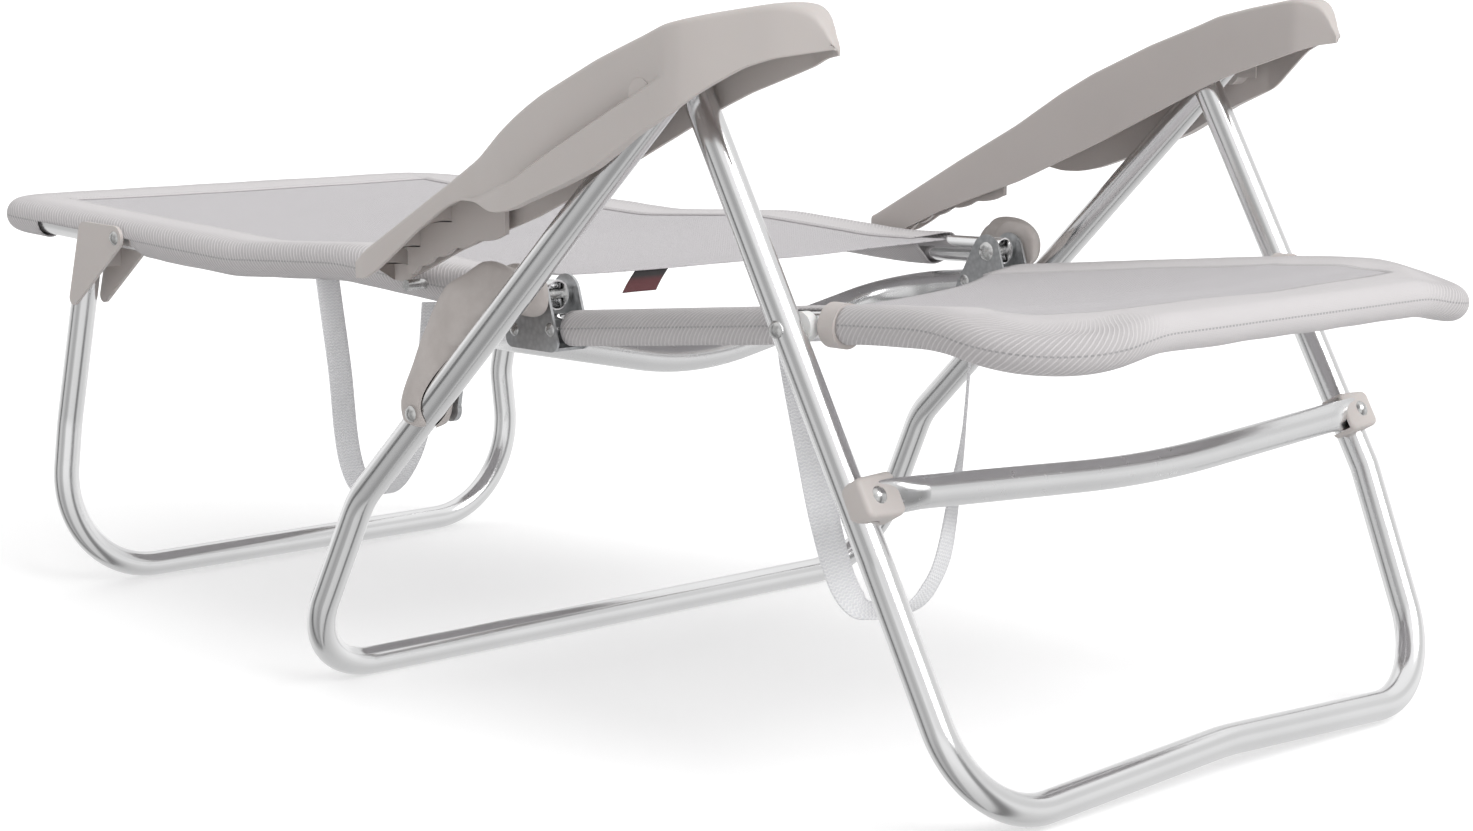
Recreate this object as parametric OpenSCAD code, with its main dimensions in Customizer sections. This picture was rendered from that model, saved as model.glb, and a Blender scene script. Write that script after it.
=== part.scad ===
// Folding beach lounger: tube frame, sling fabric, plastic armrests and two carry straps.
// Millimetres. X runs across, -Y is the foot end, +Y the head end, +Z up, floor at Z = 0.
// Sides are built once on the +X side and mirrored for the other side.

/* [Tube] */
// Outside diameter of every frame tube
tube_d = 22; // [18:0.5:25]
// Wall of the frame tube
tube_wall = 1.4; // [1:0.1:2]

/* [Seat and backrest frames] */
// Width between the side tubes, centre to centre
frame_w = 490; // [440:5:540]
// Front bar of the seat, distance in front of the origin
seat_front_y = -606; // [-620:1:-600]
// Rear end of the seat side tubes
seat_rear_y = -150; // [-154:1:-149]
// Height of the seat side tubes at their rear end
seat_rear_z = 291; // [289:0.5:292]
// Height of the seat side tubes over the front legs
seat_mid_z = 320; // [316:1:324]
// Height of the seat frame at its front corners
seat_front_z = 305; // [300:1:312]
// Rise of the front bar at its middle
seat_bow = 16; // [10:1:20]
// Radius of the seat's front corners
seat_corner_r = 65; // [50:1:67]
// Centre line of the head bar
head_y = 606; // [590:1:630]
// Height of the head bar
head_z = 328; // [322:1:334]
// Radius of the backrest's head corners
head_corner_r = 50; // [40:1:60]

/* [Hinge between seat and backrest] */
// Hinge axis, fore and aft
hinge_y = -145; // [-146:0.5:-144]
// Hinge axis, height
hinge_z = 315; // [314:0.5:317]
// Hinge pin diameter
hinge_pin_d = 8; // [7:0.5:9]
// Sheet thickness of the hinge bracket
bracket_t = 2.2; // [1.8:0.1:2.6]

/* [Front leg] */
// Pivot of the front leg on the seat, fore and aft
leg_pivot_y = -410; // [-413:1:-407]
// How far the floor bar's ends stand inside the leg's tops
front_toe_in = 16; // [10:1:25]
// Floor bar, fore and aft
front_foot_y = -564; // [-576:1:-551]
// Knee of the front leg, height
front_knee_z = 173; // [165:1:181]
// Rise of the front floor bar at its middle
front_bow = 12; // [6:1:16]

/* [Rear leg] */
// How far the floor bar's ends stand outside the leg's tops
rear_splay = 20; // [16:1:24]
// Floor bar, fore and aft
rear_foot_y = 67; // [59:1:75]
// Knee of the rear leg, height
rear_knee_z = 156; // [150:1:162]
// Height of the link's rivet on the rear leg
link_end_z = 229; // [225:1:233]

/* [Head leg] */
// How far the floor bar's ends stand outside the side tubes
head_splay = 17; // [11:1:23]
// Floor bar, fore and aft
head_foot_y = 500; // [494:1:506]
// Pivot on the backrest tube, fore and aft
head_pivot_y = 397; // [393:1:401]

/* [Armrests] */
// Pivot shared by both legs and the armrest, fore and aft
arm_pivot_y = -326; // [-328:1:-324]
// The same pivot, height
arm_pivot_z = 466; // [464:1:468]
// Length of an armrest in plan
arm_l = 465; // [456:1:471]
// Rise of an armrest from its rear tip to its crown
arm_rise = 210; // [206:1:214]
// Greatest width of an armrest
arm_w = 70; // [68:1:78]
// Wall of the armrest shell
arm_wall = 3; // [2:0.25:3.5]

/* [Fabric and webbing] */
// Thickness of the sling fabric
cloth_t = 1.4; // [1:0.1:2]
// Sag of the seat fabric at its rear edge
seat_sag = 16; // [10:1:20]
// Sag of the backrest fabric
back_sag = 6; // [3:1:9]
// Width of the carry straps
strap_w = 22; // [18:1:26]
// Thickness of the carry straps
strap_t = 1.6; // [1.2:0.1:2.4]
// How far the front carry strap hangs below the seat
front_strap_drop = 176; // [150:2:184]
// How far the rear carry strap hangs below the backrest
rear_strap_drop = 162; // [140:2:175]

/* [Hidden] */
$fn = 32;

// Running clearance of a pin in its hole, and the gap between a soft piece and its neighbour
run_gap = 0.08;
soft_gap = 0.3;
// Overrun of a cut past the face that it leaves
over = 1;

tube_r = tube_d / 2;
// Ring that joins a straight to a bend: half length, rise and dip from the tube's surface,
// and how far the straight stops short of the bend inside it
ring_l = 1.5;
ring_rise = 0.06;
ring_dip = 0.1;
ring_gap = 0.4;
side_x = frame_w / 2;

// Sling sleeves round the tubes
sleeve_t = 1.2;
sleeve_r = tube_r + soft_gap + sleeve_t;

// Layers outward from the seat tube: spacer, front leg, rear leg
spacer_t = 8;
layer_gap = 1;
front_top_x = side_x + tube_d + spacer_t;
rear_top_x = front_top_x + tube_d + layer_gap;

// Path of the seat side tube: where it crests, dips and turns the corner
seat_crest_y = -441;
dip_back = 90;
dip_rise = 3.5;
seat_dip_y = seat_front_y + dip_back;
seat_dip_z = seat_mid_z + dip_rise;
// The front bar is level between two points this far in from the side tubes
bar_slope_l = 95;

// Path of the backrest side tube
back_low_y = -41;
back_low_z = 312;
lumbar_y = 97;
lumbar_z = 320;
back_dip_y = 241;
back_dip_z = 312;
head_pivot_z = back_dip_z + (head_z - back_dip_z) * (head_pivot_y - back_dip_y) / (head_y - back_dip_y);
// Rear end of the backrest tube past the hinge axis
hinge_end = 7;
side_bend_r = 300;

// Height of the seat tube at the front leg's pivot
leg_pivot_z = seat_rear_z
    + (seat_mid_z - seat_rear_z) * (leg_pivot_y - seat_rear_y) / (seat_crest_y - seat_rear_y);

// Front leg: knee and corner
front_knee_y = -490;
front_knee_in = 2;
front_knee_x = front_top_x - front_knee_in;
front_foot_x = front_top_x - front_toe_in;
front_corner_r = 73;
front_knee_r = 60;
leg_end = 14;

// Rear leg: knee and corner
rear_knee_y = -4;
rear_knee_out = 12;
rear_knee_x = rear_top_x + rear_knee_out;
rear_foot_x = rear_top_x + rear_splay;
rear_corner_r = 67;
rear_knee_r = 70;

// Share of the way from the rear leg's pivot to its knee where the link is riveted
link_share = (arm_pivot_z - link_end_z) / (arm_pivot_z - rear_knee_z);
link_end_y = arm_pivot_y + (rear_knee_y - arm_pivot_y) * link_share;
link_end_x = rear_top_x + (rear_knee_x - rear_top_x) * link_share;

// Head leg
head_corner_leg_r = 90;
head_knee_out = 1;
head_knee_x = side_x + head_knee_out;
head_foot_x = side_x + head_splay;
head_knee_z = 150;
head_knee_r = 60;
head_leg_top_y = 465;
head_leg_top_z = 288;
head_leg_top_x = side_x;

// Stretcher between the hinge brackets
stretcher_start_y = -137;
stretcher_z = 289;
stretcher_corner_y = -40;
stretcher_corner_z = 278;
stretcher_in = 10;
stretcher_mid_y = -33;
stretcher_mid_z = 231;
stretcher_r = 60;

// Cross brace between the front legs
// Height of the tab's centre line on the leg, and of the tube's end
brace_z = 208;
brace_end_z = 214;
brace_y = -485;
brace_drop = 11;
brace_forward = 9;
brace_in = 17;
brace_x = side_x - brace_in;
tab_in = 6;
brace_tab_x = front_top_x - tab_in;
front_leg_dx = 4.3;
brace_tab_t = 6;
brace_tab_h = 24;
collar_l = 42;
collar_out = 18;
collar_h = 33;
collar_t = 3;

// Rivets
rivet_d = 6;
rivet_head_d = 12;
rivet_head_h = 3.2;

// Spacer collars on the seat tube and spacers at the leg pivots
collar_y = -423;
collar_w = 14;
collar_ring_t = 4;
spacer_d = 20;
sleeve_break_y = -395;
notch_w = 17;

// Armrest shell
arm_rear_y = 13;
arm_low_z = 314;
arm_tip_y = arm_rear_y - arm_l;
arm_in_x = side_x + tube_r + 4;
boss_d = 20;
rib_t = 2.5;
rib_h = 15;
rack_t = 4;
rack_x = arm_in_x + 10;
rack_pin_y = -17;
rack_pin_d = 8;
rack_clear = 1.5;
notch_r = 4.5;
// Turn of the armrest for each degree of recline, and the backrest's full recline
arm_share = 0.32;
recline_max = 70;

// Side outline of the armrest, as shares of its length from the tip and of its rise
arm_top_shares = [
    [0, 0.862], [0.015, 0.950], [0.037, 0.985], [0.067, 1], [0.153, 0.960], [0.275, 0.876],
    [0.400, 0.767], [0.529, 0.633], [0.759, 0.386], [0.965, 0.130], [0.99, 0.085], [1, 0.04]];
arm_inner_low_shares = [
    [-0.02, 0.855], [0.032, 0.838], [0.110, 0.786], [0.190, 0.724], [0.335, 0.581],
    [0.460, 0.452], [0.645, 0.276], [0.837, 0.128], [0.975, 0], [1.02, 0]];
arm_outer_low_shares = [
    [-0.02, 0.862], [0.071, 0.838], [0.142, 0.762], [0.202, 0.667], [0.275, 0.595],
    [0.368, 0.481], [0.502, 0.371], [0.597, 0.310], [0.632, 0.310], [0.678, 0.333],
    [0.717, 0.333], [0.754, 0.305], [0.824, 0.219], [0.975, 0.02], [1.02, 0.02]];
// Plan outline: shares of the length from the tip and of the width from the inner face
arm_plan_shares = [
    [0, 0.186], [0.170, 0.957], [0.210, 0.985], [0.236, 1], [0.317, 0.99], [0.521, 0.93],
    [0.592, 0.86], [0.674, 0.72], [0.755, 0.66], [0.97, 0.62], [1, 0.56]];
// Where the plan starts to turn from the inner face towards the tip
arm_turn_share = 0.067;
// Where the cross ribs stand, as shares of the length
rib_shares = [0.735, 0.825, 0.905];

// Bracket of the head leg: outline circles, as offsets from its pivot
ear_r = 10;
ear_top = [46, 2];
ear_top_r = 9;
ear_tip = [66, -56];
ear_tip_r = 6;
ear_t = 3;
ear_in = 1.2;

// Vinyl sheath over the link: centre line, half widths and wall
sheath_wall = 1.6;
sheath_r = 15;
link_t = 4;
link_w = 18;
link_x = front_top_x + tube_r + soft_gap - link_t;
elbow_y = -94;
elbow_z = 305;

// Carry straps: each row is across, fore-and-aft and down as shares of the drop, and the
// turn of the webbing's width in degrees
front_strap_in = 7;
front_strap_x = side_x - front_strap_in;
front_strap_y = -380;
front_strap_shares = [
    [0, 0, 0, 25], [0, -0.02, 0.105, 25], [-0.006, -0.094, 0.393, 25], [-0.017, -0.159, 0.66, 20],
    [-0.04, -0.222, 0.87, 15], [-0.074, -0.267, 0.964, 10], [-0.125, -0.31, 0.995, 5],
    [-0.182, -0.361, 1, 0], [-0.239, -0.401, 0.978, -5], [-0.301, -0.429, 0.918, -10],
    [-0.358, -0.452, 0.793, -14], [-0.415, -0.449, 0.574, -22], [-0.449, -0.466, 0.305, -38],
    [-0.455, -0.494, -0.116, -41]];
rear_strap_in = 2;
rear_strap_x = side_x - rear_strap_in;
rear_strap_y = 124;
rear_strap_shares = [
    [0, 0, 0, 0], [0, -0.03, 0.15, 0], [0, -0.09, 0.45, 0], [0, -0.13, 0.75, 0],
    [0, -0.18, 0.91, 0], [0.01, -0.28, 1, 0], [0.02, -0.42, 1, 0], [0.03, -0.55, 0.93, 0],
    [0.03, -0.67, 0.78, 0], [0.03, -0.755, 0.58, 0], [0.02, -0.80, 0.35, 0],
    [0, -0.815, 0.05, 0]];

// Sewn tag under the front hem of the backrest
tag_w = 34;
tag_h = 17;
tag_t = 1;
tag_x = -117;
back_hem_y = -117;
back_hem_curve = 12;

// Seat fabric
seat_hem_y = -217;
seat_hem_curve = 50;

// Points and directions
function unit(v) = v / norm(v);
function mirrored(p) = [for (i = [len(p) - 1:-1:0]) [-p[i].x, p[i].y, p[i].z]];
function corner_angle(a, b, c) = acos(max(-1, min(1, unit(a - b) * unit(c - b))));
function trim(p, r, i) =
    (i == 0 || i == len(p) - 1) ? 0 : r[i] / tan(corner_angle(p[i - 1], p[i], p[i + 1]) / 2);

// Solid rod of diameter d from a to b
module rod(a, b, d) {
    v = b - a;
    translate(a) rotate([0, acos(v.z / norm(v)), atan2(v.y, v.x)]) cylinder(h = norm(v), d = d);
}

// Round bend of radius r at b, between the directions to a and to c
module bend(a, b, c, r, d) {
    half = corner_angle(a, b, c) / 2;
    start_dir = unit(a - b);
    end_dir = unit(c - b);
    centre = b + unit(start_dir + end_dir) * r / sin(half);
    u = unit(b + start_dir * r / tan(half) - centre);
    w = unit(cross(cross(u, unit(b + end_dir * r / tan(half) - centre)), u));
    n = cross(u, w);
    multmatrix([[u.x, w.x, n.x, centre.x], [u.y, w.y, n.y, centre.y], [u.z, w.z, n.z, centre.z]])
        rotate_extrude(angle = 180 - 2 * half) translate([r, 0]) circle(d = d);
}

// Short ring about a point of a rod, a hair proud of it in the middle
module joint_ring(at, along, d) {
    translate(at) rotate([0, acos(along.z), atan2(along.y, along.x)])
        rotate_extrude() polygon([
            [0, -ring_l], [d / 2 - ring_dip, -ring_l], [d / 2 + ring_rise, 0],
            [d / 2 - ring_dip, ring_l], [0, ring_l]]);
}

// Rod that follows the points p, with a bend of radius r[i] at each inner point
module bent_rod(p, r, d) {
    last = len(p) - 1;
    for (i = [0:last - 1]) {
        along = unit(p[i + 1] - p[i]);
        start = p[i] + along * trim(p, r, i);
        end = p[i + 1] - along * trim(p, r, i + 1);
        rod(start + along * (i == 0 ? 0 : ring_gap), end - along * (i == last - 1 ? 0 : ring_gap), d);
        if (i > 0) joint_ring(start, along, d);
        if (i < last - 1) joint_ring(end, along, d);
    }
    for (i = [1:last - 1]) bend(p[i - 1], p[i], p[i + 1], r[i], d);
}

// Hollow tube along the same points
module bent_tube(p, r, d = tube_d, wall = tube_wall) {
    difference() {
        bent_rod(p, r, d);
        bent_rod(p, r, d - 2 * wall);
    }
}

// Both sides of the lounger
module both_sides() {
    children();
    mirror([1, 0, 0]) children();
}

// Hole or shank across the lounger, along X from x0 to x1
module across(x0, x1, y, z, d) {
    translate([x0, y, z]) rotate([0, 90, 0]) cylinder(h = x1 - x0, d = d);
}

// Domed rivet head of diameter d and height h, its flat face at Z = 0
module dome(d, h) {
    ball_r = (h * h + d * d / 4) / (2 * h);
    intersection() {
        translate([0, 0, h - ball_r]) sphere(r = ball_r);
        cylinder(h = h, d = d);
    }
}

// Rivet across the lounger with a domed head at each end
module cross_rivet(x0, x1, y, z, d, head_d, head_h) {
    across(x0, x1, y, z, d);
    translate([x1, y, z]) rotate([0, 90, 0]) dome(head_d, head_h);
    translate([x0, y, z]) rotate([0, -90, 0]) dome(head_d, head_h);
}

// Solid skin through rings of points, closed at both ends
module skin(rings) {
    n = len(rings[0]);
    last = len(rings) - 1;
    polyhedron(
        [for (ring = rings) each ring],
        concat(
            [for (i = [0:n / 2 - 2]) each [[i, i + 1, n - 2 - i], [i, n - 2 - i, n - 1 - i]]],
            [for (k = [0:last - 1]) for (i = [0:n - 1]) each [
                [k * n + i, (k + 1) * n + i, k * n + (i + 1) % n],
                [(k + 1) * n + i, (k + 1) * n + (i + 1) % n, k * n + (i + 1) % n]]],
            [for (i = [0:n / 2 - 2]) each [
                [last * n + n - 2 - i, last * n + i + 1, last * n + i],
                [last * n + n - 1 - i, last * n + n - 2 - i, last * n + i]]]));
}

// Cloth of thickness t whose upper face goes through a grid of points
module cloth(grid, t) {
    cols = len(grid[0]);
    skin([for (row = grid) concat(
        [for (p = row) p],
        [for (i = [cols - 1:-1:0]) row[i] - [0, 0, t]])]);
}

// Flat webbing along route points [x, y, z], its width turned by turns[i] about Z
function webbing_rings(route, turns, w, t) = [
    for (i = [0:len(route) - 1])
        let (
            ahead = route[min(i + 1, len(route) - 1)],
            behind = route[max(i - 1, 0)],
            along = unit(ahead - behind),
            flat = [cos(turns[i]), sin(turns[i]), 0],
            wide = unit(flat - along * (flat * along)),
            thick = cross(along, wide))
        [for (s = [[-1, -1], [1, -1], [1, 1], [-1, 1]])
            route[i] + wide * s[0] * w / 2 + thick * s[1] * t / 2]];

// Centre lines of the two sling frames
seat_side = [
    [side_x, seat_rear_y, seat_rear_z], [side_x, seat_crest_y, seat_mid_z],
    [side_x, seat_dip_y, seat_dip_z], [side_x, seat_front_y, seat_front_z]];
bar_half = [[side_x - bar_slope_l, seat_front_y, seat_front_z + seat_bow]];
seat_path = concat(seat_side, bar_half, mirrored(bar_half), mirrored(seat_side));
seat_radii = [0, side_bend_r, side_bend_r / 2, seat_corner_r, side_bend_r / 2,
    side_bend_r / 2, seat_corner_r, side_bend_r / 2, side_bend_r, 0];
back_side = [
    [side_x, hinge_y - hinge_end, hinge_z], [side_x, back_low_y, back_low_z],
    [side_x, lumbar_y, lumbar_z], [side_x, back_dip_y, back_dip_z], [side_x, head_y, head_z]];
back_path = concat(back_side, mirrored(back_side));
back_radii = [0, side_bend_r, side_bend_r, side_bend_r, head_corner_r,
    head_corner_r, side_bend_r, side_bend_r, side_bend_r, 0];

// Height of a side tube at y, read along its points from front to rear
seat_table = [for (i = [3:-1:0]) [seat_side[i].y, seat_side[i].z]];
back_table = [for (p = back_side) [p.y, p.z]];
function seat_tube_z(y) = lookup(y, seat_table);
function back_tube_z(y) = lookup(y, back_table);

module seat_frame() {
    color("gainsboro") difference() {
        bent_tube(seat_path, seat_radii);
        both_sides() {
            across(side_x - tube_d, side_x + tube_d, leg_pivot_y, leg_pivot_z, hinge_pin_d + 2 * run_gap);
            across(side_x - tube_d, side_x + tube_d, seat_rivet_y, seat_tube_z(seat_rivet_y), rivet_d);
        }
    }
}

// Half width of a sling at a distance t in from the bar that closes its frame
function sling_x(t, r) = t >= r ? side_x : side_x - r + sqrt(r * r - (r - t) * (r - t));

// Height of the seat frame's surface between the side tubes and the front bar
function seat_rise(x) = seat_bow * min(1, (side_x - abs(x)) / bar_slope_l);
// What is left of that rise between the frame's dip and its crest
function rise_left(y) = max(0, min(1, (seat_crest_y - y) / (seat_crest_y - seat_dip_y)));
function seat_top_z(x, y) = min(seat_tube_z(y) + seat_rise(x) * rise_left(y),
    max(seat_tube_z(y), seat_front_z + seat_bow));

// Seat sling: hangs between the side tubes at the rear, pulled up by the front bar
seat_rows = 24;
seat_cols = 14;
module seat_panel() {
    rest_z = sleeve_r + 2 * soft_gap + cloth_t;
    color("lightgray") difference() {
    cloth([
        for (k = [0:seat_rows]) [
            for (i = [0:seat_cols])
                let (
                    s = 2 * i / seat_cols - 1,
                    rear = seat_hem_y + seat_hem_curve * s * s,
                    y = seat_front_y + (rear - seat_front_y) * k / seat_rows,
                    far = (y - seat_front_y) / (seat_hem_y - seat_front_y),
                    x = sling_x(y - seat_front_y, seat_corner_r) * s)
                [x, y, seat_top_z(x, y) + rest_z - seat_sag * min(1, 2 * far) * (1 - s * s)]]],
        cloth_t);
    both_sides() translate([side_x - notch_w, collar_y - collar_w, seat_mid_z])
        cube([2 * notch_w, sleeve_break_y - collar_y + collar_w, 2 * tube_d]);
    }
}

// Sleeves of the seat sling, open where the front leg is pivoted
module seat_sleeves() {
    color("silver") difference() {
        bent_tube(seat_path, seat_radii, 2 * sleeve_r, sleeve_t);
        both_sides() translate([side_x - tube_d, collar_y - collar_w, seat_mid_z - tube_d])
            cube([2 * tube_d, sleeve_break_y - collar_y + collar_w, 2 * tube_d]);
        both_sides() translate([side_x - tube_d, bracket_front_y - soft_gap, seat_rear_z - tube_d])
            cube([2 * tube_d, tube_d, 2 * tube_d]);
    }
}

// Plastic collars that stop the front sleeves beside the leg pivots
module seat_sleeve_collars() {
    color("antiquewhite") both_sides() difference() {
        translate([side_x, collar_y - collar_w + soft_gap, seat_tube_z(collar_y)]) rotate([-90, 0, 0])
            cylinder(h = collar_w - 2 * soft_gap, r = tube_r + collar_ring_t);
        seat_crest_rod(tube_d + soft_gap);
    }
}
// The seat tube between its rear end and its dip
module seat_crest_rod(d) {
    bent_rod([seat_side[0], seat_side[1], seat_side[2]], [0, side_bend_r, 0], d);
}

// Hinge bracket: folded steel channel under the seat tube's end, open upward
bracket_front_y = -169;
bracket_back_y = -113;
bracket_low_z = seat_rear_z - tube_r - 4;
bracket_corner_r = 7;
bracket_web_l = 22;
bracket_lobe_r = 14;
seat_rivet_y = -161;
stretcher_rivet_y = -122;
plate_gap = 2.5;
plate_in_x = side_x - tube_r - plate_gap - bracket_t;
plate_out_x = side_x + tube_r + plate_gap;

module bracket_plate(x) {
    difference() {
        translate([x, 0, 0]) rotate([90, 0, 90]) linear_extrude(bracket_t) hull() {
            translate([hinge_y, hinge_z]) circle(r = bracket_lobe_r, $fn = 32);
            translate([bracket_front_y + bracket_corner_r, bracket_low_z + bracket_corner_r])
                circle(r = bracket_corner_r, $fn = 32);
            translate([bracket_back_y - bracket_corner_r, bracket_low_z + bracket_corner_r])
                circle(r = bracket_corner_r, $fn = 32);
        }
        across(x - over, x + bracket_t + over, hinge_y, hinge_z, hinge_pin_d + 2 * run_gap);
        across(x - over, x + bracket_t + over, seat_rivet_y, seat_tube_z(seat_rivet_y),
            rivet_d + 2 * run_gap);
        across(x - over, x + bracket_t + over, stretcher_rivet_y, stretcher_z, rivet_d + 2 * run_gap);
    }
}

module hinge_bracket() {
    color("darkgray") {
        bracket_plate(plate_in_x);
        bracket_plate(plate_out_x);
        translate([plate_in_x, bracket_front_y + bracket_corner_r, bracket_low_z])
            cube([plate_out_x - plate_in_x + bracket_t, bracket_web_l, bracket_t]);
    }
}
module hinge_bracket_left() { mirror([1, 0, 0]) hinge_bracket(); }
module hinge_bracket_right() { hinge_bracket(); }

// Pins through bracket, backrest tube and link, with a broad domed head inside
module hinge_pins() {
    color("silver") both_sides() cross_rivet(plate_in_x - run_gap, link_x + link_t + run_gap,
        hinge_y, hinge_z, hinge_pin_d, 2 * hinge_pin_d, hinge_pin_d / 2);
}

module seat_tube_rivets() {
    color("silver") both_sides() cross_rivet(plate_in_x, plate_out_x + bracket_t,
        seat_rivet_y, seat_tube_z(seat_rivet_y), rivet_d, rivet_head_d - 2, rivet_head_h - 1);
}

// Stretcher: shallow bowed tube from bracket to bracket, under the lap of the two slings
stretcher_side = [
    [side_x, stretcher_start_y, stretcher_z],
    [side_x - stretcher_in, stretcher_corner_y, stretcher_corner_z]];
module stretcher_bar() {
    color("silver") difference() {
        bent_tube(concat(stretcher_side, [[0, stretcher_mid_y, stretcher_mid_z]], mirrored(stretcher_side)),
            [0, stretcher_r, side_bend_r, stretcher_r, 0]);
        both_sides() across(side_x - tube_d, side_x + tube_d, stretcher_rivet_y, stretcher_z, rivet_d);
    }
}
module stretcher_rivets() {
    color("silver") both_sides() cross_rivet(plate_in_x, plate_out_x + bracket_t,
        stretcher_rivet_y, stretcher_z, rivet_d, rivet_head_d - 2, rivet_head_h - 1);
}

// Rivets that pivot the front leg on the seat tube, and the nylon spacers between the two
leg_pivot_x = front_top_x - front_knee_in
    * (arm_pivot_z - leg_pivot_z) / (arm_pivot_z - front_knee_z);
module leg_pivot_rivets() {
    color("silver") both_sides() cross_rivet(side_x - tube_r, leg_pivot_x + tube_r + run_gap,
        leg_pivot_y, leg_pivot_z, hinge_pin_d, rivet_head_d, rivet_head_h);
}
module leg_pivot_spacers() {
    color("whitesmoke") both_sides() difference() {
        across(side_x + tube_r - over, leg_pivot_x - tube_r - soft_gap, leg_pivot_y, leg_pivot_z, spacer_d);
        seat_crest_rod(tube_d + 2 * run_gap);
        across(side_x, front_top_x, leg_pivot_y, leg_pivot_z, hinge_pin_d + 2 * run_gap);
    }
}

module strap(x, y, z, drop, shares) {
    skin(webbing_rings(
        [for (s = shares) [x + s[0] * drop, y + s[1] * drop, z - s[2] * drop]],
        [for (s = shares) s[3]], strap_w, strap_t));
}
module front_carry_strap() {
    color("gainsboro") mirror([1, 0, 0])
        strap(front_strap_x, front_strap_y, seat_tube_z(front_strap_y) - sleeve_r - soft_gap,
            front_strap_drop, front_strap_shares);
}

module backrest_frame() {
    color("gainsboro") difference() {
        bent_tube(back_path, back_radii);
        both_sides() {
            across(side_x - tube_d, side_x + tube_d, hinge_y, hinge_z, hinge_pin_d + 2 * run_gap);
            across(side_x - tube_d, side_x + tube_d, head_pivot_y, head_pivot_z, rivet_d + 2 * run_gap);
            across(side_x, side_x + tube_d, rack_pin_y, back_tube_z(rack_pin_y), rack_pin_d);
        }
    }
}

back_rows = 20;
back_cols = 12;
module backrest_panel() {
    rest_z = sleeve_r + soft_gap + cloth_t;
    color("lightgray") cloth([
        for (k = [0:back_rows]) [
            for (i = [0:back_cols])
                let (
                    s = 2 * i / back_cols - 1,
                    front = back_hem_y - back_hem_curve * (s * s - 1),
                    y = front + (head_y - front) * k / back_rows,
                    near_head = (head_y - y) / (head_y - front))
                [sling_x(head_y - y, head_corner_r) * s, y,
                    back_tube_z(y) + rest_z - back_sag * (1 - s * s) * min(1, 6 * near_head)]]],
        cloth_t);
}

// Side sleeves of the backrest sling, from behind the hinge to the head leg's bracket
sleeve_front_y = -93;
sleeve_head_y = head_pivot_y - ear_r - 4;
module backrest_sleeves() {
    color("silver") difference() {
        intersection() {
            bent_tube(back_path, back_radii, 2 * sleeve_r, sleeve_t);
            translate([-frame_w, sleeve_front_y, 0])
                cube([2 * frame_w, sleeve_head_y - sleeve_front_y, head_z + tube_d]);
        }
        both_sides() across(side_x, side_x + tube_d, rack_pin_y, back_tube_z(rack_pin_y),
            rack_pin_d + 2 * soft_gap);
    }
}
// Head sleeve: round the head bar and both corners
head_sleeve_l = 83;
module head_sleeve() {
    color("silver") intersection() {
        bent_tube(back_path, back_radii, 2 * sleeve_r, sleeve_t);
        translate([-frame_w, head_y - head_sleeve_l, 0])
            cube([2 * frame_w, 2 * head_sleeve_l, head_z + tube_d]);
    }
}

// Pins on the backrest tube that run under the notched racks of the armrests
module rack_pins() {
    color("silver") both_sides() across(side_x + tube_r - tube_wall, rack_x + rack_t + 2,
        rack_pin_y, back_tube_z(rack_pin_y), rack_pin_d);
}

// Rivets of the head leg, through its plastic ears and the backrest tube
ear_out_x = side_x + sleeve_r + ear_in;
ear_in_x = side_x - sleeve_r - ear_in - ear_t;
module head_leg_rivets() {
    color("silver") both_sides() cross_rivet(ear_in_x - run_gap, ear_out_x + ear_t + run_gap,
        head_pivot_y, head_pivot_z, rivet_d, rivet_head_d, rivet_head_h);
}

module rear_carry_strap() {
    color("gainsboro") mirror([1, 0, 0])
        strap(rear_strap_x, rear_strap_y, back_tube_z(rear_strap_y) - sleeve_r - soft_gap,
            rear_strap_drop, rear_strap_shares);
}

module sewn_tag() {
    color("dimgray") translate([tag_x - tag_w / 2, back_hem_y + back_hem_curve, tag_top_z - tag_h])
        cube([tag_w, tag_t, tag_h]);
}
tag_top_z = back_tube_z(back_hem_y) + sleeve_r - back_sag;

// Head leg: one bent tube, hinged under the backrest by two plastic ears
head_leg_side = [
    [head_leg_top_x, head_leg_top_y, head_leg_top_z], [head_knee_x, head_foot_y, head_knee_z],
    [head_foot_x, head_foot_y, tube_r]];
module head_leg() {
    color("gainsboro") bent_tube(concat(head_leg_side, mirrored(head_leg_side)),
        [0, head_knee_r, head_corner_leg_r, head_corner_leg_r, head_knee_r, 0]);
}

module ear(x) {
    difference() {
        translate([x, head_pivot_y, head_pivot_z]) rotate([90, 0, 90]) linear_extrude(ear_t) hull() {
            circle(r = ear_r, $fn = 32);
            translate(ear_top) circle(r = ear_top_r, $fn = 32);
            translate(ear_tip) circle(r = ear_tip_r, $fn = 32);
        }
        across(x - over, x + ear_t + over, head_pivot_y, head_pivot_z, rivet_d + 2 * run_gap);
    }
}
// The web joins the ears in front of the leg's end, a cap covers that end and a plug fills it
plug_l = 30;
web_l = 22;
web_h = 17;
cap_l = 8;
module head_leg_bracket() {
    top = head_leg_side[0];
    down = unit(head_leg_side[1] - top);
    color("antiquewhite") {
        ear(ear_in_x);
        ear(ear_out_x);
        translate([ear_in_x, head_pivot_y + ear_top[0] - ear_top_r, top.z + tube_r * down.y + soft_gap])
            cube([ear_out_x - ear_in_x + ear_t, web_l, web_h]);
        rod(top - down * cap_l, top - down * soft_gap, tube_d);
        rod(top - down * cap_l / 2, top + down * plug_l, tube_d - 2 * tube_wall - 2 * run_gap);
    }
}
module head_leg_bracket_left() { mirror([1, 0, 0]) head_leg_bracket(); }
module head_leg_bracket_right() { head_leg_bracket(); }

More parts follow.
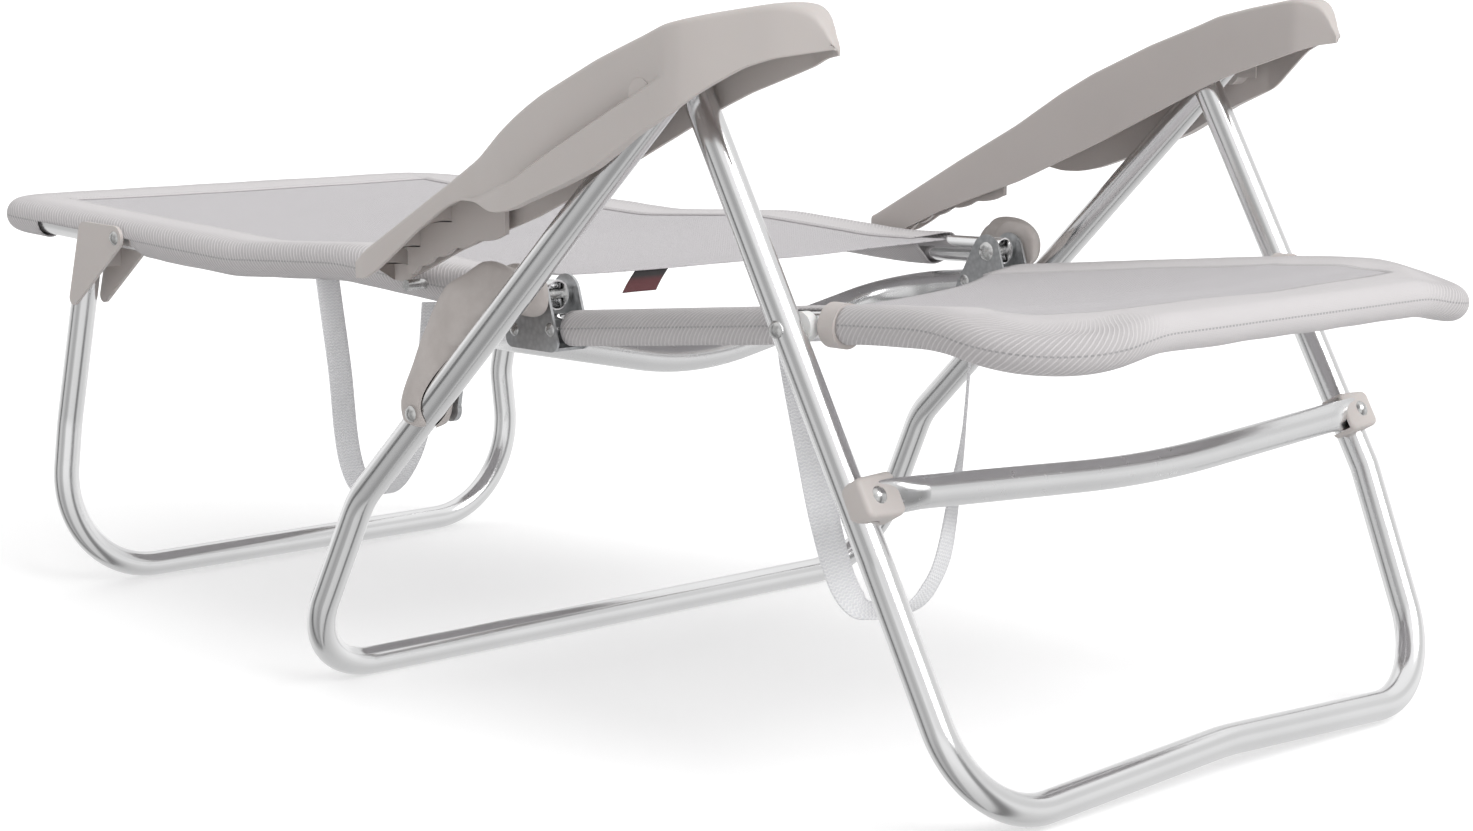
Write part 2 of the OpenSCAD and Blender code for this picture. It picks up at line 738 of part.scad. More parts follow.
// Legs that carry the seat: each starts a little past the armrest's pivot
front_dir = unit([0, leg_pivot_y - arm_pivot_y, leg_pivot_z - arm_pivot_z]);
rear_dir = unit([rear_knee_x - rear_top_x, rear_knee_y - arm_pivot_y, rear_knee_z - arm_pivot_z]);
front_side = [
    [front_top_x, arm_pivot_y, arm_pivot_z] - front_dir * leg_end,
    [front_knee_x, front_knee_y, front_knee_z], [front_foot_x, front_foot_y, tube_r]];
rear_side = [
    [rear_top_x, arm_pivot_y, arm_pivot_z] - rear_dir * leg_end,
    [rear_knee_x, rear_knee_y, rear_knee_z], [rear_foot_x, rear_foot_y, tube_r]];

module front_leg() {
    color("gainsboro") difference() {
        bent_tube(concat(front_side, [[0, front_foot_y, tube_r + front_bow]], mirrored(front_side)),
            [0, front_knee_r, front_corner_r, side_bend_r, front_corner_r, front_knee_r, 0]);
        both_sides() {
            for (p = [[arm_pivot_y, arm_pivot_z], [leg_pivot_y, leg_pivot_z]])
                across(front_top_x - tube_d, front_top_x + tube_d, p.x, p.y, hinge_pin_d + 2 * run_gap);
            on_front_leg() rotate([90, 0, 0]) cylinder(h = tube_d, d = rivet_d);
        }
    }
}

// The brace's seat on the front leg: X across, -Y out of the tube's front, Z up the tube
leg_lean = atan2(front_knee_y - arm_pivot_y, arm_pivot_z - front_knee_z);
module on_front_leg() {
    translate([brace_tab_x, arm_pivot_y + (brace_z - arm_pivot_z) * tan(-leg_lean), brace_z])
        rotate([leg_lean, 0, 0]) children();
}
tab_y = -tube_r - run_gap - brace_tab_t;
cap_y = tab_y - collar_t - soft_gap;
// Step where the flattened tab runs out into the round tube
tab_step = 0.2;
// Where the flat tab begins, clear of the collar
tab_start_x = -collar_l / 2 - soft_gap;

// Cross brace: bowed tube with flattened ends riveted to the front of the legs
brace_end = [brace_x, brace_y, brace_end_z];
module cross_brace() {
    color("silver") {
        bent_tube([brace_end, [0, brace_y - brace_forward, brace_end_z - brace_drop],
            [-brace_end.x, brace_end.y, brace_end.z]], [0, 4 * side_bend_r, 0]);
        both_sides() {
            hull() {
                translate(brace_end - [over, 0, 0]) rotate([0, 90, 0])
                    cylinder(h = over, d = tube_d - over, $fn = 32);
                on_front_leg() translate([tab_start_x, tab_y + tab_step, tab_step - brace_tab_h / 2])
                    cube([over, brace_tab_t - 2 * tab_step, brace_tab_h - 2 * tab_step]);
            }
            on_front_leg() difference() {
                translate([tab_start_x, tab_y, -brace_tab_h / 2])
                    cube([brace_tab_h / 2 - tab_start_x, brace_tab_t, brace_tab_h]);
                rotate([90, 0, 0]) cylinder(h = 2 * tube_d, d = rivet_d + 2 * run_gap);
            }
        }
    }
}

// Plastic collar: a cap over the brace's flat end that wraps round the front of the leg
module brace_collar() {
    color("antiquewhite") difference() {
        on_front_leg() difference() {
            translate([-collar_l / 2, cap_y, -collar_h / 2])
                cube([collar_l / 2 + collar_out, -cap_y, collar_h]);
            translate([-collar_l, tab_y - soft_gap, -brace_tab_h / 2 - soft_gap])
                cube([collar_l + brace_tab_h / 2 + soft_gap, brace_tab_t + tube_r,
                    brace_tab_h + 2 * soft_gap]);
            translate([front_leg_dx, 0, -collar_h]) cylinder(h = 2 * collar_h, d = tube_d + 2 * soft_gap);
            rotate([90, 0, 0]) cylinder(h = 2 * tube_d, d = rivet_d + 2 * run_gap);
        }
    }
}
module brace_collar_left() { mirror([1, 0, 0]) brace_collar(); }
module brace_collar_right() { brace_collar(); }
module brace_rivets() {
    color("silver") both_sides() on_front_leg() translate([0, cap_y, 0]) rotate([90, 0, 0]) {
        dome(rivet_head_d, rivet_head_h);
        translate([0, 0, cap_y]) cylinder(h = -cap_y, d = rivet_d);
    }
}

module rear_leg() {
    color("gainsboro") difference() {
        bent_tube(concat(rear_side, mirrored(rear_side)),
            [0, rear_knee_r, rear_corner_r, rear_corner_r, rear_knee_r, 0]);
        both_sides() {
            across(rear_top_x - tube_d, rear_top_x + tube_d, arm_pivot_y, arm_pivot_z, hinge_pin_d);
            across(link_end_x - tube_d, link_end_x + tube_d, link_end_y, link_end_z, rivet_d);
        }
    }
}

// Pins through the armrest walls and the tops of both legs
arm_boss_x = rear_top_x + tube_r + soft_gap;
module arm_pivot_rivets() {
    color("silver") both_sides()
        across(arm_in_x + over + run_gap, arm_boss_x + boss_l, arm_pivot_y, arm_pivot_z, hinge_pin_d);
}
// Rivets that show on the outside of the rear leg at the link
module link_rivets() {
    color("silver") both_sides() {
        across(link_x + link_t + soft_gap, link_end_x + sheath_r + soft_gap, link_end_y, link_end_z, rivet_d);
        translate([link_end_x + sheath_r + soft_gap, link_end_y, link_end_z]) rotate([0, 90, 0])
            dome(rivet_head_d, rivet_head_h);
    }
}

// Armrest outlines
function arm_y(share) = arm_tip_y + arm_l * share;
function arm_z(share) = arm_low_z + arm_rise * share;
arm_top_table = [for (s = arm_top_shares) [arm_y(s[0]), arm_z(s[1])]];
function arm_top_z(y) = lookup(y, arm_top_table);
boss_l = 14;

module arm_side(low) {
    rotate([90, 0, 90]) linear_extrude(arm_in_x + 2 * arm_w)
        polygon(concat([for (s = arm_top_shares) [arm_y(s[0]), arm_z(s[1])]],
            [[arm_y(1), low], [arm_y(0), low]]));
}
module arm_plan(inset) {
    tip = arm_plan_shares[0];
    last = len(arm_plan_shares) - 1;
    linear_extrude(2 * arm_pivot_z)
        polygon(concat([[arm_in_x + inset, arm_y(1) + inset],
            [arm_in_x + inset, arm_y(arm_turn_share) + inset],
            [arm_in_x + arm_w * tip[1], arm_y(tip[0]) + 2 * inset]],
            [for (i = [1:last]) let (s = arm_plan_shares[i])
                [arm_in_x + arm_w * s[1] - inset, arm_y(s[0])]]));
}
module arm_under(x0, x1, shares) {
    translate([x0, 0, 0]) rotate([90, 0, 90]) linear_extrude(x1 - x0)
        polygon(concat([for (s = shares) [arm_y(s[0]), arm_z(s[1])]],
            [[arm_y(1) + arm_w, 0], [arm_y(0) - arm_w, 0]]));
}
module arm_block() {
    intersection() {
        arm_side(0);
        arm_plan(0);
    }
}

// Where the rack pin lies in the armrest's own frame at a recline of t degrees
pin_r = norm([rack_pin_y - hinge_y, back_tube_z(rack_pin_y) - hinge_z]);
pin_0 = atan2(back_tube_z(rack_pin_y) - hinge_z, rack_pin_y - hinge_y);
function pin_in_arm(t) =
    let (
        p = [hinge_y + pin_r * cos(pin_0 + t) - arm_pivot_y, hinge_z + pin_r * sin(pin_0 + t) - arm_pivot_z],
        a = -arm_share * t)
    [arm_pivot_y + p.x * cos(a) - p.y * sin(a), arm_pivot_z + p.x * sin(a) + p.y * cos(a)];
rack_steps = [0:5:recline_max];
notch_steps = [0:14:recline_max];

// Notched rack moulded inside the shell, just above the pin's path
module arm_rack() {
    low = [for (t = rack_steps) pin_in_arm(t) + [0, rack_pin_d / 2 + rack_clear]];
    translate([rack_x, 0, 0]) rotate([90, 0, 90]) difference() {
        linear_extrude(rack_t) polygon(concat(low,
            [for (i = [len(low) - 1:-1:0]) [low[i].x, arm_top_z(low[i].x) - arm_wall / 2]]));
        for (t = notch_steps) translate(concat(pin_in_arm(t) + [0, rack_pin_d / 2], [-over]))
            cylinder(h = rack_t + 2 * over, r = notch_r);
    }
}

module armrest() {
    bore = hinge_pin_d + 2 * run_gap;
    color("antiquewhite") difference() {
        union() {
            difference() {
                arm_block();
                intersection() {
                    translate([0, arm_wall, -arm_wall]) arm_side(-arm_wall);
                    arm_plan(arm_wall);
                    translate([0, arm_y(0), 0]) cube([frame_w, arm_l - arm_wall, 2 * arm_pivot_z]);
                }
                arm_under(arm_in_x - over, arm_in_x + arm_wall + over / 2, arm_inner_low_shares);
                arm_under(arm_in_x + arm_wall + over / 2, arm_in_x + 2 * arm_w, arm_outer_low_shares);
            }
            intersection() {
                arm_block();
                union() {
                    across(arm_boss_x, arm_in_x + arm_w, arm_pivot_y, arm_pivot_z, boss_d);
                    translate([arm_boss_x, arm_pivot_y - rib_t / 2, arm_pivot_z])
                        cube([arm_w, rib_t, arm_rise]);
                    for (s = rib_shares) translate([arm_in_x, arm_y(s), arm_top_z(arm_y(s)) - rib_h])
                        cube([arm_w, rib_t, rib_h]);
                    arm_rack();
                }
            }
        }
        across(arm_in_x + over, arm_in_x + 2 * arm_wall, arm_pivot_y, arm_pivot_z, bore);
        across(arm_boss_x - over, arm_boss_x + boss_l + run_gap, arm_pivot_y, arm_pivot_z, bore);
    }
}
module armrest_left() { mirror([1, 0, 0]) armrest(); }
module armrest_right() { armrest(); }

// Link from the hinge pin to the rear leg: a flat bar bent at an elbow, with a hub
hub_x = plate_out_x + bracket_t + soft_gap;
link_a = [hinge_y, hinge_z];
link_b = [elbow_y, elbow_z];
link_c = [link_end_y, link_end_z];
// Side steps of a bar of width link_w through the elbow, a little narrower than its eyes
function side_step(v) = [-v.y, v.x] / norm(v) * (link_w / 2 - over);
step_ab = side_step(link_b - link_a);
step_bc = side_step(link_c - link_b);
step_b = (step_ab + step_bc) / (1 + step_ab * step_bc / (norm(step_ab) * norm(step_bc)));
module link_outline() {
    polygon([link_a + step_ab, link_b + step_b, link_c + step_bc,
        link_c - step_bc, link_b - step_b, link_a - step_ab]);
}
module link() {
    color("darkgray") difference() {
        union() {
            across(hub_x, link_x + link_t, hinge_y, hinge_z, link_w);
            across(link_x, link_x + link_t, link_end_y, link_end_z, link_w);
            translate([link_x + soft_gap, 0, 0]) rotate([90, 0, 90]) linear_extrude(link_t - 2 * soft_gap)
                link_outline();
        }
        across(hub_x - over, link_x + link_t + over, hinge_y, hinge_z, hinge_pin_d + 2 * run_gap);
    }
}
module link_left() { mirror([1, 0, 0]) link(); }
module link_right() { link(); }

// Soft vinyl sheath over the link: a bent sleeve, slit where it straddles the rear leg
sheath_sides = 16;
// Steps of the sheath's centre line off the hub, the elbow and the link's end, each across,
// fore-and-aft and up
hub_steps = [[1.6, 2, 0], [15, 16, 3]];
elbow_steps = [[-2, -8, 3], [2, 6, -10]];
end_steps = [[8, -8, 38], [11, -1, 4], [12, 3, -10]];
sheath_route = concat(
    [for (s = hub_steps) [hub_x, hinge_y, hinge_z] + s],
    [for (s = elbow_steps) [link_x, elbow_y, elbow_z] + s],
    [for (s = end_steps) [link_x, link_end_y, link_end_z] + s]);
// Direction that no part of the centre line runs along, from which the rings are turned
ring_side = [1, 0.4, 0.8];
function sheath_rings(r, extra) = [
    for (i = [0:len(sheath_route) - 1])
        let (
            last = len(sheath_route) - 1,
            along = unit(sheath_route[min(i + 1, last)] - sheath_route[max(i - 1, 0)]),
            push = i == 0 ? -extra : i == last ? extra : 0,
            a = unit(cross(along, ring_side)),
            b = cross(along, a))
        [for (k = [0:sheath_sides - 1])
            sheath_route[i] + along * push
                + r * (a * cos(360 * k / sheath_sides) + b * sin(360 * k / sheath_sides))]];
module link_sheath() {
    color("antiquewhite") difference() {
        skin(sheath_rings(sheath_r, 0));
        skin(sheath_rings(sheath_r - sheath_wall, over));
        bent_rod([for (p = rear_side) p], [0, rear_knee_r, 0], tube_d + 2 * soft_gap);
        across(hub_x, link_x + link_t + tube_r, hinge_y, hinge_z, link_w + 2 * soft_gap);
        across(link_end_x, link_end_x + tube_d, link_end_y, link_end_z, rivet_d + 2 * soft_gap);
        across(link_x - soft_gap, link_x + link_t + soft_gap, link_end_y, link_end_z, link_w + 2 * soft_gap);
        translate([link_x - soft_gap, 0, 0]) rotate([90, 0, 90]) linear_extrude(link_t + 2 * soft_gap)
            offset(delta = soft_gap) link_outline();
        translate([0, hinge_y - link_w, hinge_z - 2 * link_w]) cube([hub_x, 3 * link_w, 4 * link_w]);
    }
}
module link_sheath_left() { mirror([1, 0, 0]) link_sheath(); }
module link_sheath_right() { link_sheath(); }

seat_frame();
seat_panel();
seat_sleeves();
seat_sleeve_collars();
hinge_bracket_left();
hinge_bracket_right();
hinge_pins();
seat_tube_rivets();
stretcher_bar();
stretcher_rivets();
leg_pivot_rivets();
leg_pivot_spacers();
front_carry_strap();
backrest_frame();
backrest_panel();
backrest_sleeves();
head_sleeve();
rack_pins();
head_leg_rivets();
rear_carry_strap();
sewn_tag();
head_leg();
head_leg_bracket_left();
head_leg_bracket_right();
front_leg();
cross_brace();
brace_collar_left();
brace_collar_right();
brace_rivets();
rear_leg();
arm_pivot_rivets();
link_rivets();
armrest_left();
armrest_right();
link_left();
link_right();
link_sheath_left();
link_sheath_right();
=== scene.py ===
import bmesh
import bpy
import math
from mathutils import Vector, Matrix, noise


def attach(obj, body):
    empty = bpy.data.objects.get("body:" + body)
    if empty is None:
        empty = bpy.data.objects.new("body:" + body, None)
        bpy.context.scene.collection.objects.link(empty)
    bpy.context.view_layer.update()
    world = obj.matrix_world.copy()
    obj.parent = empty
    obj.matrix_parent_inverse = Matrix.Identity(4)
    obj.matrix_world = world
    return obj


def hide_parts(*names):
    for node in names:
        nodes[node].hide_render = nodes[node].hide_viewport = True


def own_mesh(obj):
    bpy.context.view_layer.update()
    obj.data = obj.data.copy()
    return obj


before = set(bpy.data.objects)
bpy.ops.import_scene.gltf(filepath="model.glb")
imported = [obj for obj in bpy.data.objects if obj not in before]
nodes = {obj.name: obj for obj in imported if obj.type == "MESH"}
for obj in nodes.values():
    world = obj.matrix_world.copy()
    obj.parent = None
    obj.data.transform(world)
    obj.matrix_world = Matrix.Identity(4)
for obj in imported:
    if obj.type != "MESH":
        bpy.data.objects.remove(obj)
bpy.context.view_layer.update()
scene = bpy.context.scene


# ---------------------------------------------------------------- camera
def look(yaw, pitch, roll):
    d = Vector((math.sin(yaw) * math.cos(pitch), math.cos(yaw) * math.cos(pitch), -math.sin(pitch)))
    r = Vector((math.cos(yaw), -math.sin(yaw), 0.0))
    u = r.cross(d)
    r2 = r * math.cos(roll) + u * math.sin(roll)
    u2 = -r * math.sin(roll) + u * math.cos(roll)
    m = Matrix((r2, u2, -d)).transposed()
    return m.to_4x4()


cam_data = bpy.data.cameras.new("camera")
camera = bpy.data.objects.new("camera", cam_data)
scene.collection.objects.link(camera)
# Solved from the photo: focal length in its pixels, its width, the eye's place in metres and the three turns
FOCAL_PX, PHOTO_W, SENSOR = 2922.63, 1473.0, 36.0
EYE = (-1.60703, -1.71956, 0.54699)
YAW, PITCH, ROLL = 0.77693, 0.15239, 0.00457
cam_data.sensor_width = SENSOR
cam_data.lens = FOCAL_PX * SENSOR / PHOTO_W
cam_data.clip_start, cam_data.clip_end = 0.05, 60.0
camera.matrix_world = Matrix.Translation(EYE) @ look(YAW, PITCH, ROLL)
scene.camera = camera
scene.view_settings.view_transform = "Standard"
scene.view_settings.look = "None"


# ---------------------------------------------------------------- node graphs
class Graph:
    """A short way to write a material's nodes."""

    def __init__(self, tree):
        self.t = tree

    def node(self, kind, ins=(), **props):
        n = self.t.nodes.new(kind)
        for k, v in props.items():
            setattr(n, k, v)
        for k, v in dict(ins).items():
            self.put(n.inputs[k], v)
        return n

    def put(self, socket, v):
        if hasattr(v, "is_output") or isinstance(v, bpy.types.NodeSocket):
            self.t.links.new(v, socket)
        else:
            socket.default_value = v

    def math(self, op, a, b=0.0, c=0.0):
        n = self.node("ShaderNodeMath", {0: a, 1: b, 2: c}, operation=op)
        return n.outputs[0]

    def vec(self, op, a, b=(0, 0, 0)):
        n = self.node("ShaderNodeVectorMath", {0: a, 1: b}, operation=op)
        return n.outputs["Value"] if op in ("DOT_PRODUCT", "LENGTH") else n.outputs[0]

    def uv(self):
        return self.node("ShaderNodeUVMap", uv_map="uv").outputs[0]

    def obj(self):
        return self.node("ShaderNodeTexCoord").outputs["Object"]

    def split(self, v):
        n = self.node("ShaderNodeSeparateXYZ", {0: v})
        return n.outputs[0], n.outputs[1], n.outputs[2]

    def join(self, x, y, z=0.0):
        return self.node("ShaderNodeCombineXYZ", {0: x, 1: y, 2: z}).outputs[0]

    def noise(self, v, scale, detail=3.0, rough=0.5):
        n = self.node("ShaderNodeTexNoise",
                      {"Vector": v, "Scale": scale, "Detail": detail, "Roughness": rough})
        return n.outputs["Fac"]

    def voronoi(self, v, scale, feature="F1"):
        n = self.node("ShaderNodeTexVoronoi", {"Vector": v, "Scale": scale}, feature=feature)
        return n.outputs["Distance"]

    def ramp(self, f, stops):
        n = self.node("ShaderNodeValToRGB", {0: f})
        e = n.color_ramp.elements
        while len(e) > 1:
            e.remove(e[-1])
        for i, (p, c) in enumerate(stops):
            c = (c, c, c) if isinstance(c, (int, float)) else c
            el = e[0] if i == 0 else e.new(p)
            el.position = p
            el.color = (*c, 1.0)
        return n.outputs[0]

    def mix(self, f, a, b, kind="MIX"):
        n = self.node("ShaderNodeMix", data_type="RGBA", blend_type=kind)
        for i, v in ((0, f), (6, a), (7, b)):
            v = (*v, 1.0) if isinstance(v, tuple) and len(v) == 3 else v
            self.put(n.inputs[i], v)
        return n.outputs[2]

    def bump(self, h, strength, distance):
        n = self.node("ShaderNodeBump", {"Height": h, "Strength": strength, "Distance": distance})
        return n.outputs[0]


def material(name, build):
    m = bpy.data.materials.new(name)
    m.use_nodes = True
    t = m.node_tree
    t.nodes.clear()
    g = Graph(t)
    out = g.node("ShaderNodeOutputMaterial")
    b = g.node("ShaderNodeBsdfPrincipled")
    t.links.new(b.outputs[0], out.inputs[0])
    build(g, b.inputs)
    return m


def drawn_tube(tint, rough, streak):
    """Drawn aluminium: fine die lines along the tube, faint haze, a few handling marks."""

    def build(g, s):
        u, v, _ = g.split(g.uv())
        lines = g.noise(g.join(g.math("MULTIPLY", u, 90.0), g.math("MULTIPLY", v, 2.2)), 1.0, 4.0, 0.6)
        haze = g.noise(g.obj(), 9.0, 3.0)
        spots = g.noise(g.obj(), 140.0, 2.0)
        tone = g.ramp(haze, [(0.3, tuple(c * 0.93 for c in tint)), (0.7, tint)])
        tone = g.mix(g.math("MULTIPLY", lines, 0.25), tone, tuple(c * 0.86 for c in tint))
        g.put(s["Base Color"], tone)
        s["Metallic"].default_value = 1.0
        r = g.math("ADD", g.math("MULTIPLY", lines, 0.10), rough - 0.06)
        r = g.math("ADD", r, g.math("MULTIPLY", g.ramp(spots, [(0.62, 0.0), (0.72, 1.0)]), 0.06))
        g.put(s["Roughness"], r)
        g.put(s["Normal"], g.bump(g.math("ADD", lines, g.math("MULTIPLY", haze, 0.5)), streak, 0.0004))

    return build


def sheet_steel(g, s):
    """Galvanised sheet: soft spangle and rolling haze."""
    p = g.obj()
    spangle = g.voronoi(p, 260.0)
    haze = g.noise(p, 45.0, 4.0)
    g.put(s["Base Color"], g.mix(g.math("MULTIPLY", spangle, 0.9), (0.60, 0.61, 0.62), (0.40, 0.41, 0.42)))
    s["Metallic"].default_value = 0.9
    g.put(s["Roughness"], g.math("ADD", g.math("MULTIPLY", haze, 0.25), 0.26))
    g.put(s["Normal"], g.bump(g.math("ADD", spangle, haze), 0.12, 0.0004))


def rivet_metal(g, s):
    """Zinc-plated rivet head with faint turning marks."""
    p = g.obj()
    n = g.noise(p, 300.0, 4.0, 0.6)
    g.put(s["Base Color"], g.ramp(n, [(0.3, (0.50, 0.50, 0.50)), (0.75, (0.74, 0.74, 0.73))]))
    s["Metallic"].default_value = 1.0
    g.put(s["Roughness"], g.math("ADD", g.math("MULTIPLY", n, 0.2), 0.16))
    g.put(s["Normal"], g.bump(n, 0.08, 0.0003))


def plastic(tint, grain):
    """Moulded plastic with fine spark grain and slight mottling."""

    def build(g, s):
        p = g.obj()
        fine = g.noise(p, 1500.0, 2.0)
        mott = g.noise(p, 14.0, 4.0)
        g.put(s["Base Color"], g.ramp(mott, [(0.25, tuple(c * 0.96 for c in tint)), (0.75, tint)]))
        g.put(s["Roughness"], g.math("ADD", g.math("MULTIPLY", mott, 0.12), 0.40))
        s["Specular IOR Level"].default_value = 0.42
        s["Subsurface Weight"].default_value = 0.03
        s["Subsurface Scale"].default_value = 0.002
        g.put(s["Normal"], g.bump(g.math("ADD", fine, g.math("MULTIPLY", mott, 0.6)), grain, 0.0003))

    return build


def vinyl(g, s):
    """Soft vinyl sheath: leathery creases and a dull sheen."""
    p = g.obj()
    crease = g.noise(p, 55.0, 5.0, 0.6)
    cell = g.voronoi(p, 900.0)
    g.put(s["Base Color"], g.ramp(crease, [(0.3, (0.47, 0.43, 0.41)), (0.7, (0.55, 0.51, 0.49))]))
    g.put(s["Roughness"], g.math("ADD", g.math("MULTIPLY", crease, 0.2), 0.38))
    g.put(s["Normal"], g.bump(g.math("ADD", g.math("MULTIPLY", cell, 0.2), crease), 0.35, 0.0012))


def weave(g, u, v, pitch):
    """Height of a plain weave of that pitch, from metres along warp and weft."""
    k = math.pi / pitch
    a = g.math("SINE", g.math("MULTIPLY", u, k))
    b = g.math("SINE", g.math("MULTIPLY", v, k))
    wa = g.math("ABSOLUTE", a)
    wb = g.math("ABSOLUTE", b)
    over = g.math("MULTIPLY", a, b)
    pick = g.math("GREATER_THAN", over, 0.0)
    return g.math("ADD", g.math("MULTIPLY", wa, pick), g.math("MULTIPLY", wb, g.math("SUBTRACT", 1.0, pick)))


def sling_cloth(tint, dark, pitch):
    """Open-weave sling fabric: plain weave, slub and a faint soft mottle."""

    def build(g, s):
        u, v, _ = g.split(g.uv())
        w = weave(g, u, v, pitch)
        slub = g.noise(g.join(g.math("MULTIPLY", u, 60.0), g.math("MULTIPLY", v, 700.0)), 1.0, 3.0)
        slub2 = g.noise(g.join(g.math("MULTIPLY", u, 700.0), g.math("MULTIPLY", v, 60.0)), 1.0, 3.0)
        mott = g.noise(g.obj(), 22.0, 4.0)
        tone = g.mix(g.ramp(w, [(0.12, 1.0), (0.75, 0.0)]), tint, dark)
        tone = g.mix(g.math("MULTIPLY", g.math("SUBTRACT", slub, 0.35), 0.35), tone, dark)
        tone = g.mix(g.math("MULTIPLY", g.math("SUBTRACT", slub2, 0.35), 0.35), tone, tint)
        tone = g.mix(g.math("MULTIPLY", mott, 0.10), tone, dark)
        g.put(s["Base Color"], tone)
        s["Roughness"].default_value = 0.72
        s["Specular IOR Level"].default_value = 0.25
        s["Sheen Weight"].default_value = 0.12
        s["Sheen Roughness"].default_value = 0.5
        g.put(s["Normal"], g.bump(g.math("ADD", w, g.math("MULTIPLY", slub, 0.6)), 0.55, pitch * 0.35))

    return build


def hatched_cloth(tint, dark, pitch):
    """Edge band of the sling: slanted ridges on the sides, plain weave along the front bar, a sewn line."""

    def build(g, s):
        u, v, _ = g.split(g.uv())
        x, y, z = g.split(g.obj())
        warp = g.math("MULTIPLY", g.noise(g.join(u, v), 120.0, 2.0), pitch * 0.25)
        d = g.math("ADD", g.math("ADD", v, g.math("MULTIPLY", u, 0.85)), warp)
        r = g.math("SINE", g.math("MULTIPLY", d, 2.0 * math.pi / pitch))
        ridge = g.ramp(r, [(0.0, 0.0), (0.35, 0.25), (1.0, 1.0)])
        front = g.math("MULTIPLY", g.math("LESS_THAN", y, -0.5),
                       g.ramp(g.math("ABSOLUTE", x), [(0.145, 1.0), (0.185, 0.0)]))
        flap = g.ramp(u, [(0.072, 0.0), (0.090, 1.0)])
        plain = g.math("MAXIMUM", front, flap)
        ridge = g.mix(plain, ridge, (0.72, 0.72, 0.72))
        fine = weave(g, u, v, 0.0011)
        mott = g.noise(g.obj(), 22.0, 4.0)
        tone = g.mix(g.math("MULTIPLY", ridge, 0.9), dark, tint)
        tone = g.mix(g.math("MULTIPLY", g.math("SUBTRACT", 1.0, fine), 0.30), tone, dark)
        tone = g.mix(g.math("MULTIPLY", mott, 0.10), tone, dark)
        dash = g.math("GREATER_THAN", g.math("SINE", g.math("MULTIPLY", v, 2.0 * math.pi / 0.0036)), -0.35)
        line = 0.0
        for at in SEAMS:
            near = g.math("LESS_THAN", g.math("ABSOLUTE", g.math("SUBTRACT", u, at)), 0.0006)
            line = g.math("MAXIMUM", line, near)
        sewn = g.math("MULTIPLY", line, dash)
        tone = g.mix(g.math("MULTIPLY", sewn, 0.55), tone, (0.22, 0.22, 0.23))
        g.put(s["Base Color"], tone)
        s["Roughness"].default_value = 0.7
        s["Specular IOR Level"].default_value = 0.28
        s["Sheen Weight"].default_value = 0.12
        h = g.math("ADD", ridge, g.math("MULTIPLY", fine, 0.35))
        h = g.math("SUBTRACT", h, g.math("MULTIPLY", line, 1.2))
        g.put(s["Normal"], g.bump(h, 0.6, 0.0006))

    return build


def webbing_cloth(g, s):
    """Strap webbing: herringbone ribs across, bound edges."""
    u, v, _ = g.split(g.uv())
    side = g.math("ABSOLUTE", g.math("SUBTRACT", u, 0.5))
    zig = g.math("PINGPONG", g.math("MULTIPLY", u, 22.0), 2.0)
    ribs = g.math("SINE", g.math("ADD", g.math("MULTIPLY", v, 2600.0), g.math("MULTIPLY", zig, 1.6)))
    edge = g.ramp(side, [(0.43, 0.0), (0.47, 1.0)])
    mott = g.noise(g.obj(), 60.0, 3.0)
    tone = g.mix(g.ramp(ribs, [(0.2, 1.0), (0.8, 0.0)]), (0.95, 0.95, 0.955), (0.82, 0.82, 0.84))
    tone = g.mix(g.math("MULTIPLY", edge, 0.25), tone, (0.80, 0.80, 0.82))
    tone = g.mix(g.math("MULTIPLY", mott, 0.15), tone, (0.84, 0.84, 0.86))
    g.put(s["Base Color"], tone)
    s["Roughness"].default_value = 0.62
    s["Sheen Weight"].default_value = 0.2
    g.put(s["Normal"], g.bump(g.math("ADD", ribs, g.math("MULTIPLY", edge, 1.5)), 0.4, 0.0004))


def tag_cloth(g, s):
    """Woven tag, left plain: a dark header over a dark red body."""
    x, y, z = g.split(g.obj())
    n = g.noise(g.obj(), 900.0, 2.0)
    body = g.ramp(z, [(0.3150, (0.13, 0.035, 0.04)), (0.3158, (0.035, 0.036, 0.038))])
    g.put(s["Base Color"], g.mix(g.math("MULTIPLY", n, 0.35), body, (0.10, 0.07, 0.07)))
    s["Roughness"].default_value = 0.7
    g.put(s["Normal"], g.bump(n, 0.3, 0.0004))


SEAMS = (0.0493, 0.1105)    # metres round the band from its lower hem: outer side, inner edge
M = {
    "tube": material("drawn_aluminium", drawn_tube((0.90, 0.90, 0.905), 0.17, 0.10)),
    "brace": material("satin_aluminium", drawn_tube((0.84, 0.84, 0.845), 0.24, 0.16)),
    "steel": material("galvanised_sheet", sheet_steel),
    "rivet": material("plated_rivet", rivet_metal),
    "beige": material("moulded_beige", plastic((0.565, 0.525, 0.505), 0.10)),
    "nylon": material("white_nylon", plastic((0.80, 0.80, 0.79), 0.06)),
    "vinyl": material("soft_vinyl", vinyl),
    "sling": material("sling_fabric", sling_cloth((0.60, 0.58, 0.595), (0.41, 0.395, 0.405), 0.0013)),
    "band": material("sling_band", hatched_cloth((0.72, 0.695, 0.70), (0.50, 0.48, 0.485), 0.0040)),
    "webbing": material("webbing", webbing_cloth),
    "tag": material("plain_tag", tag_cloth),
}


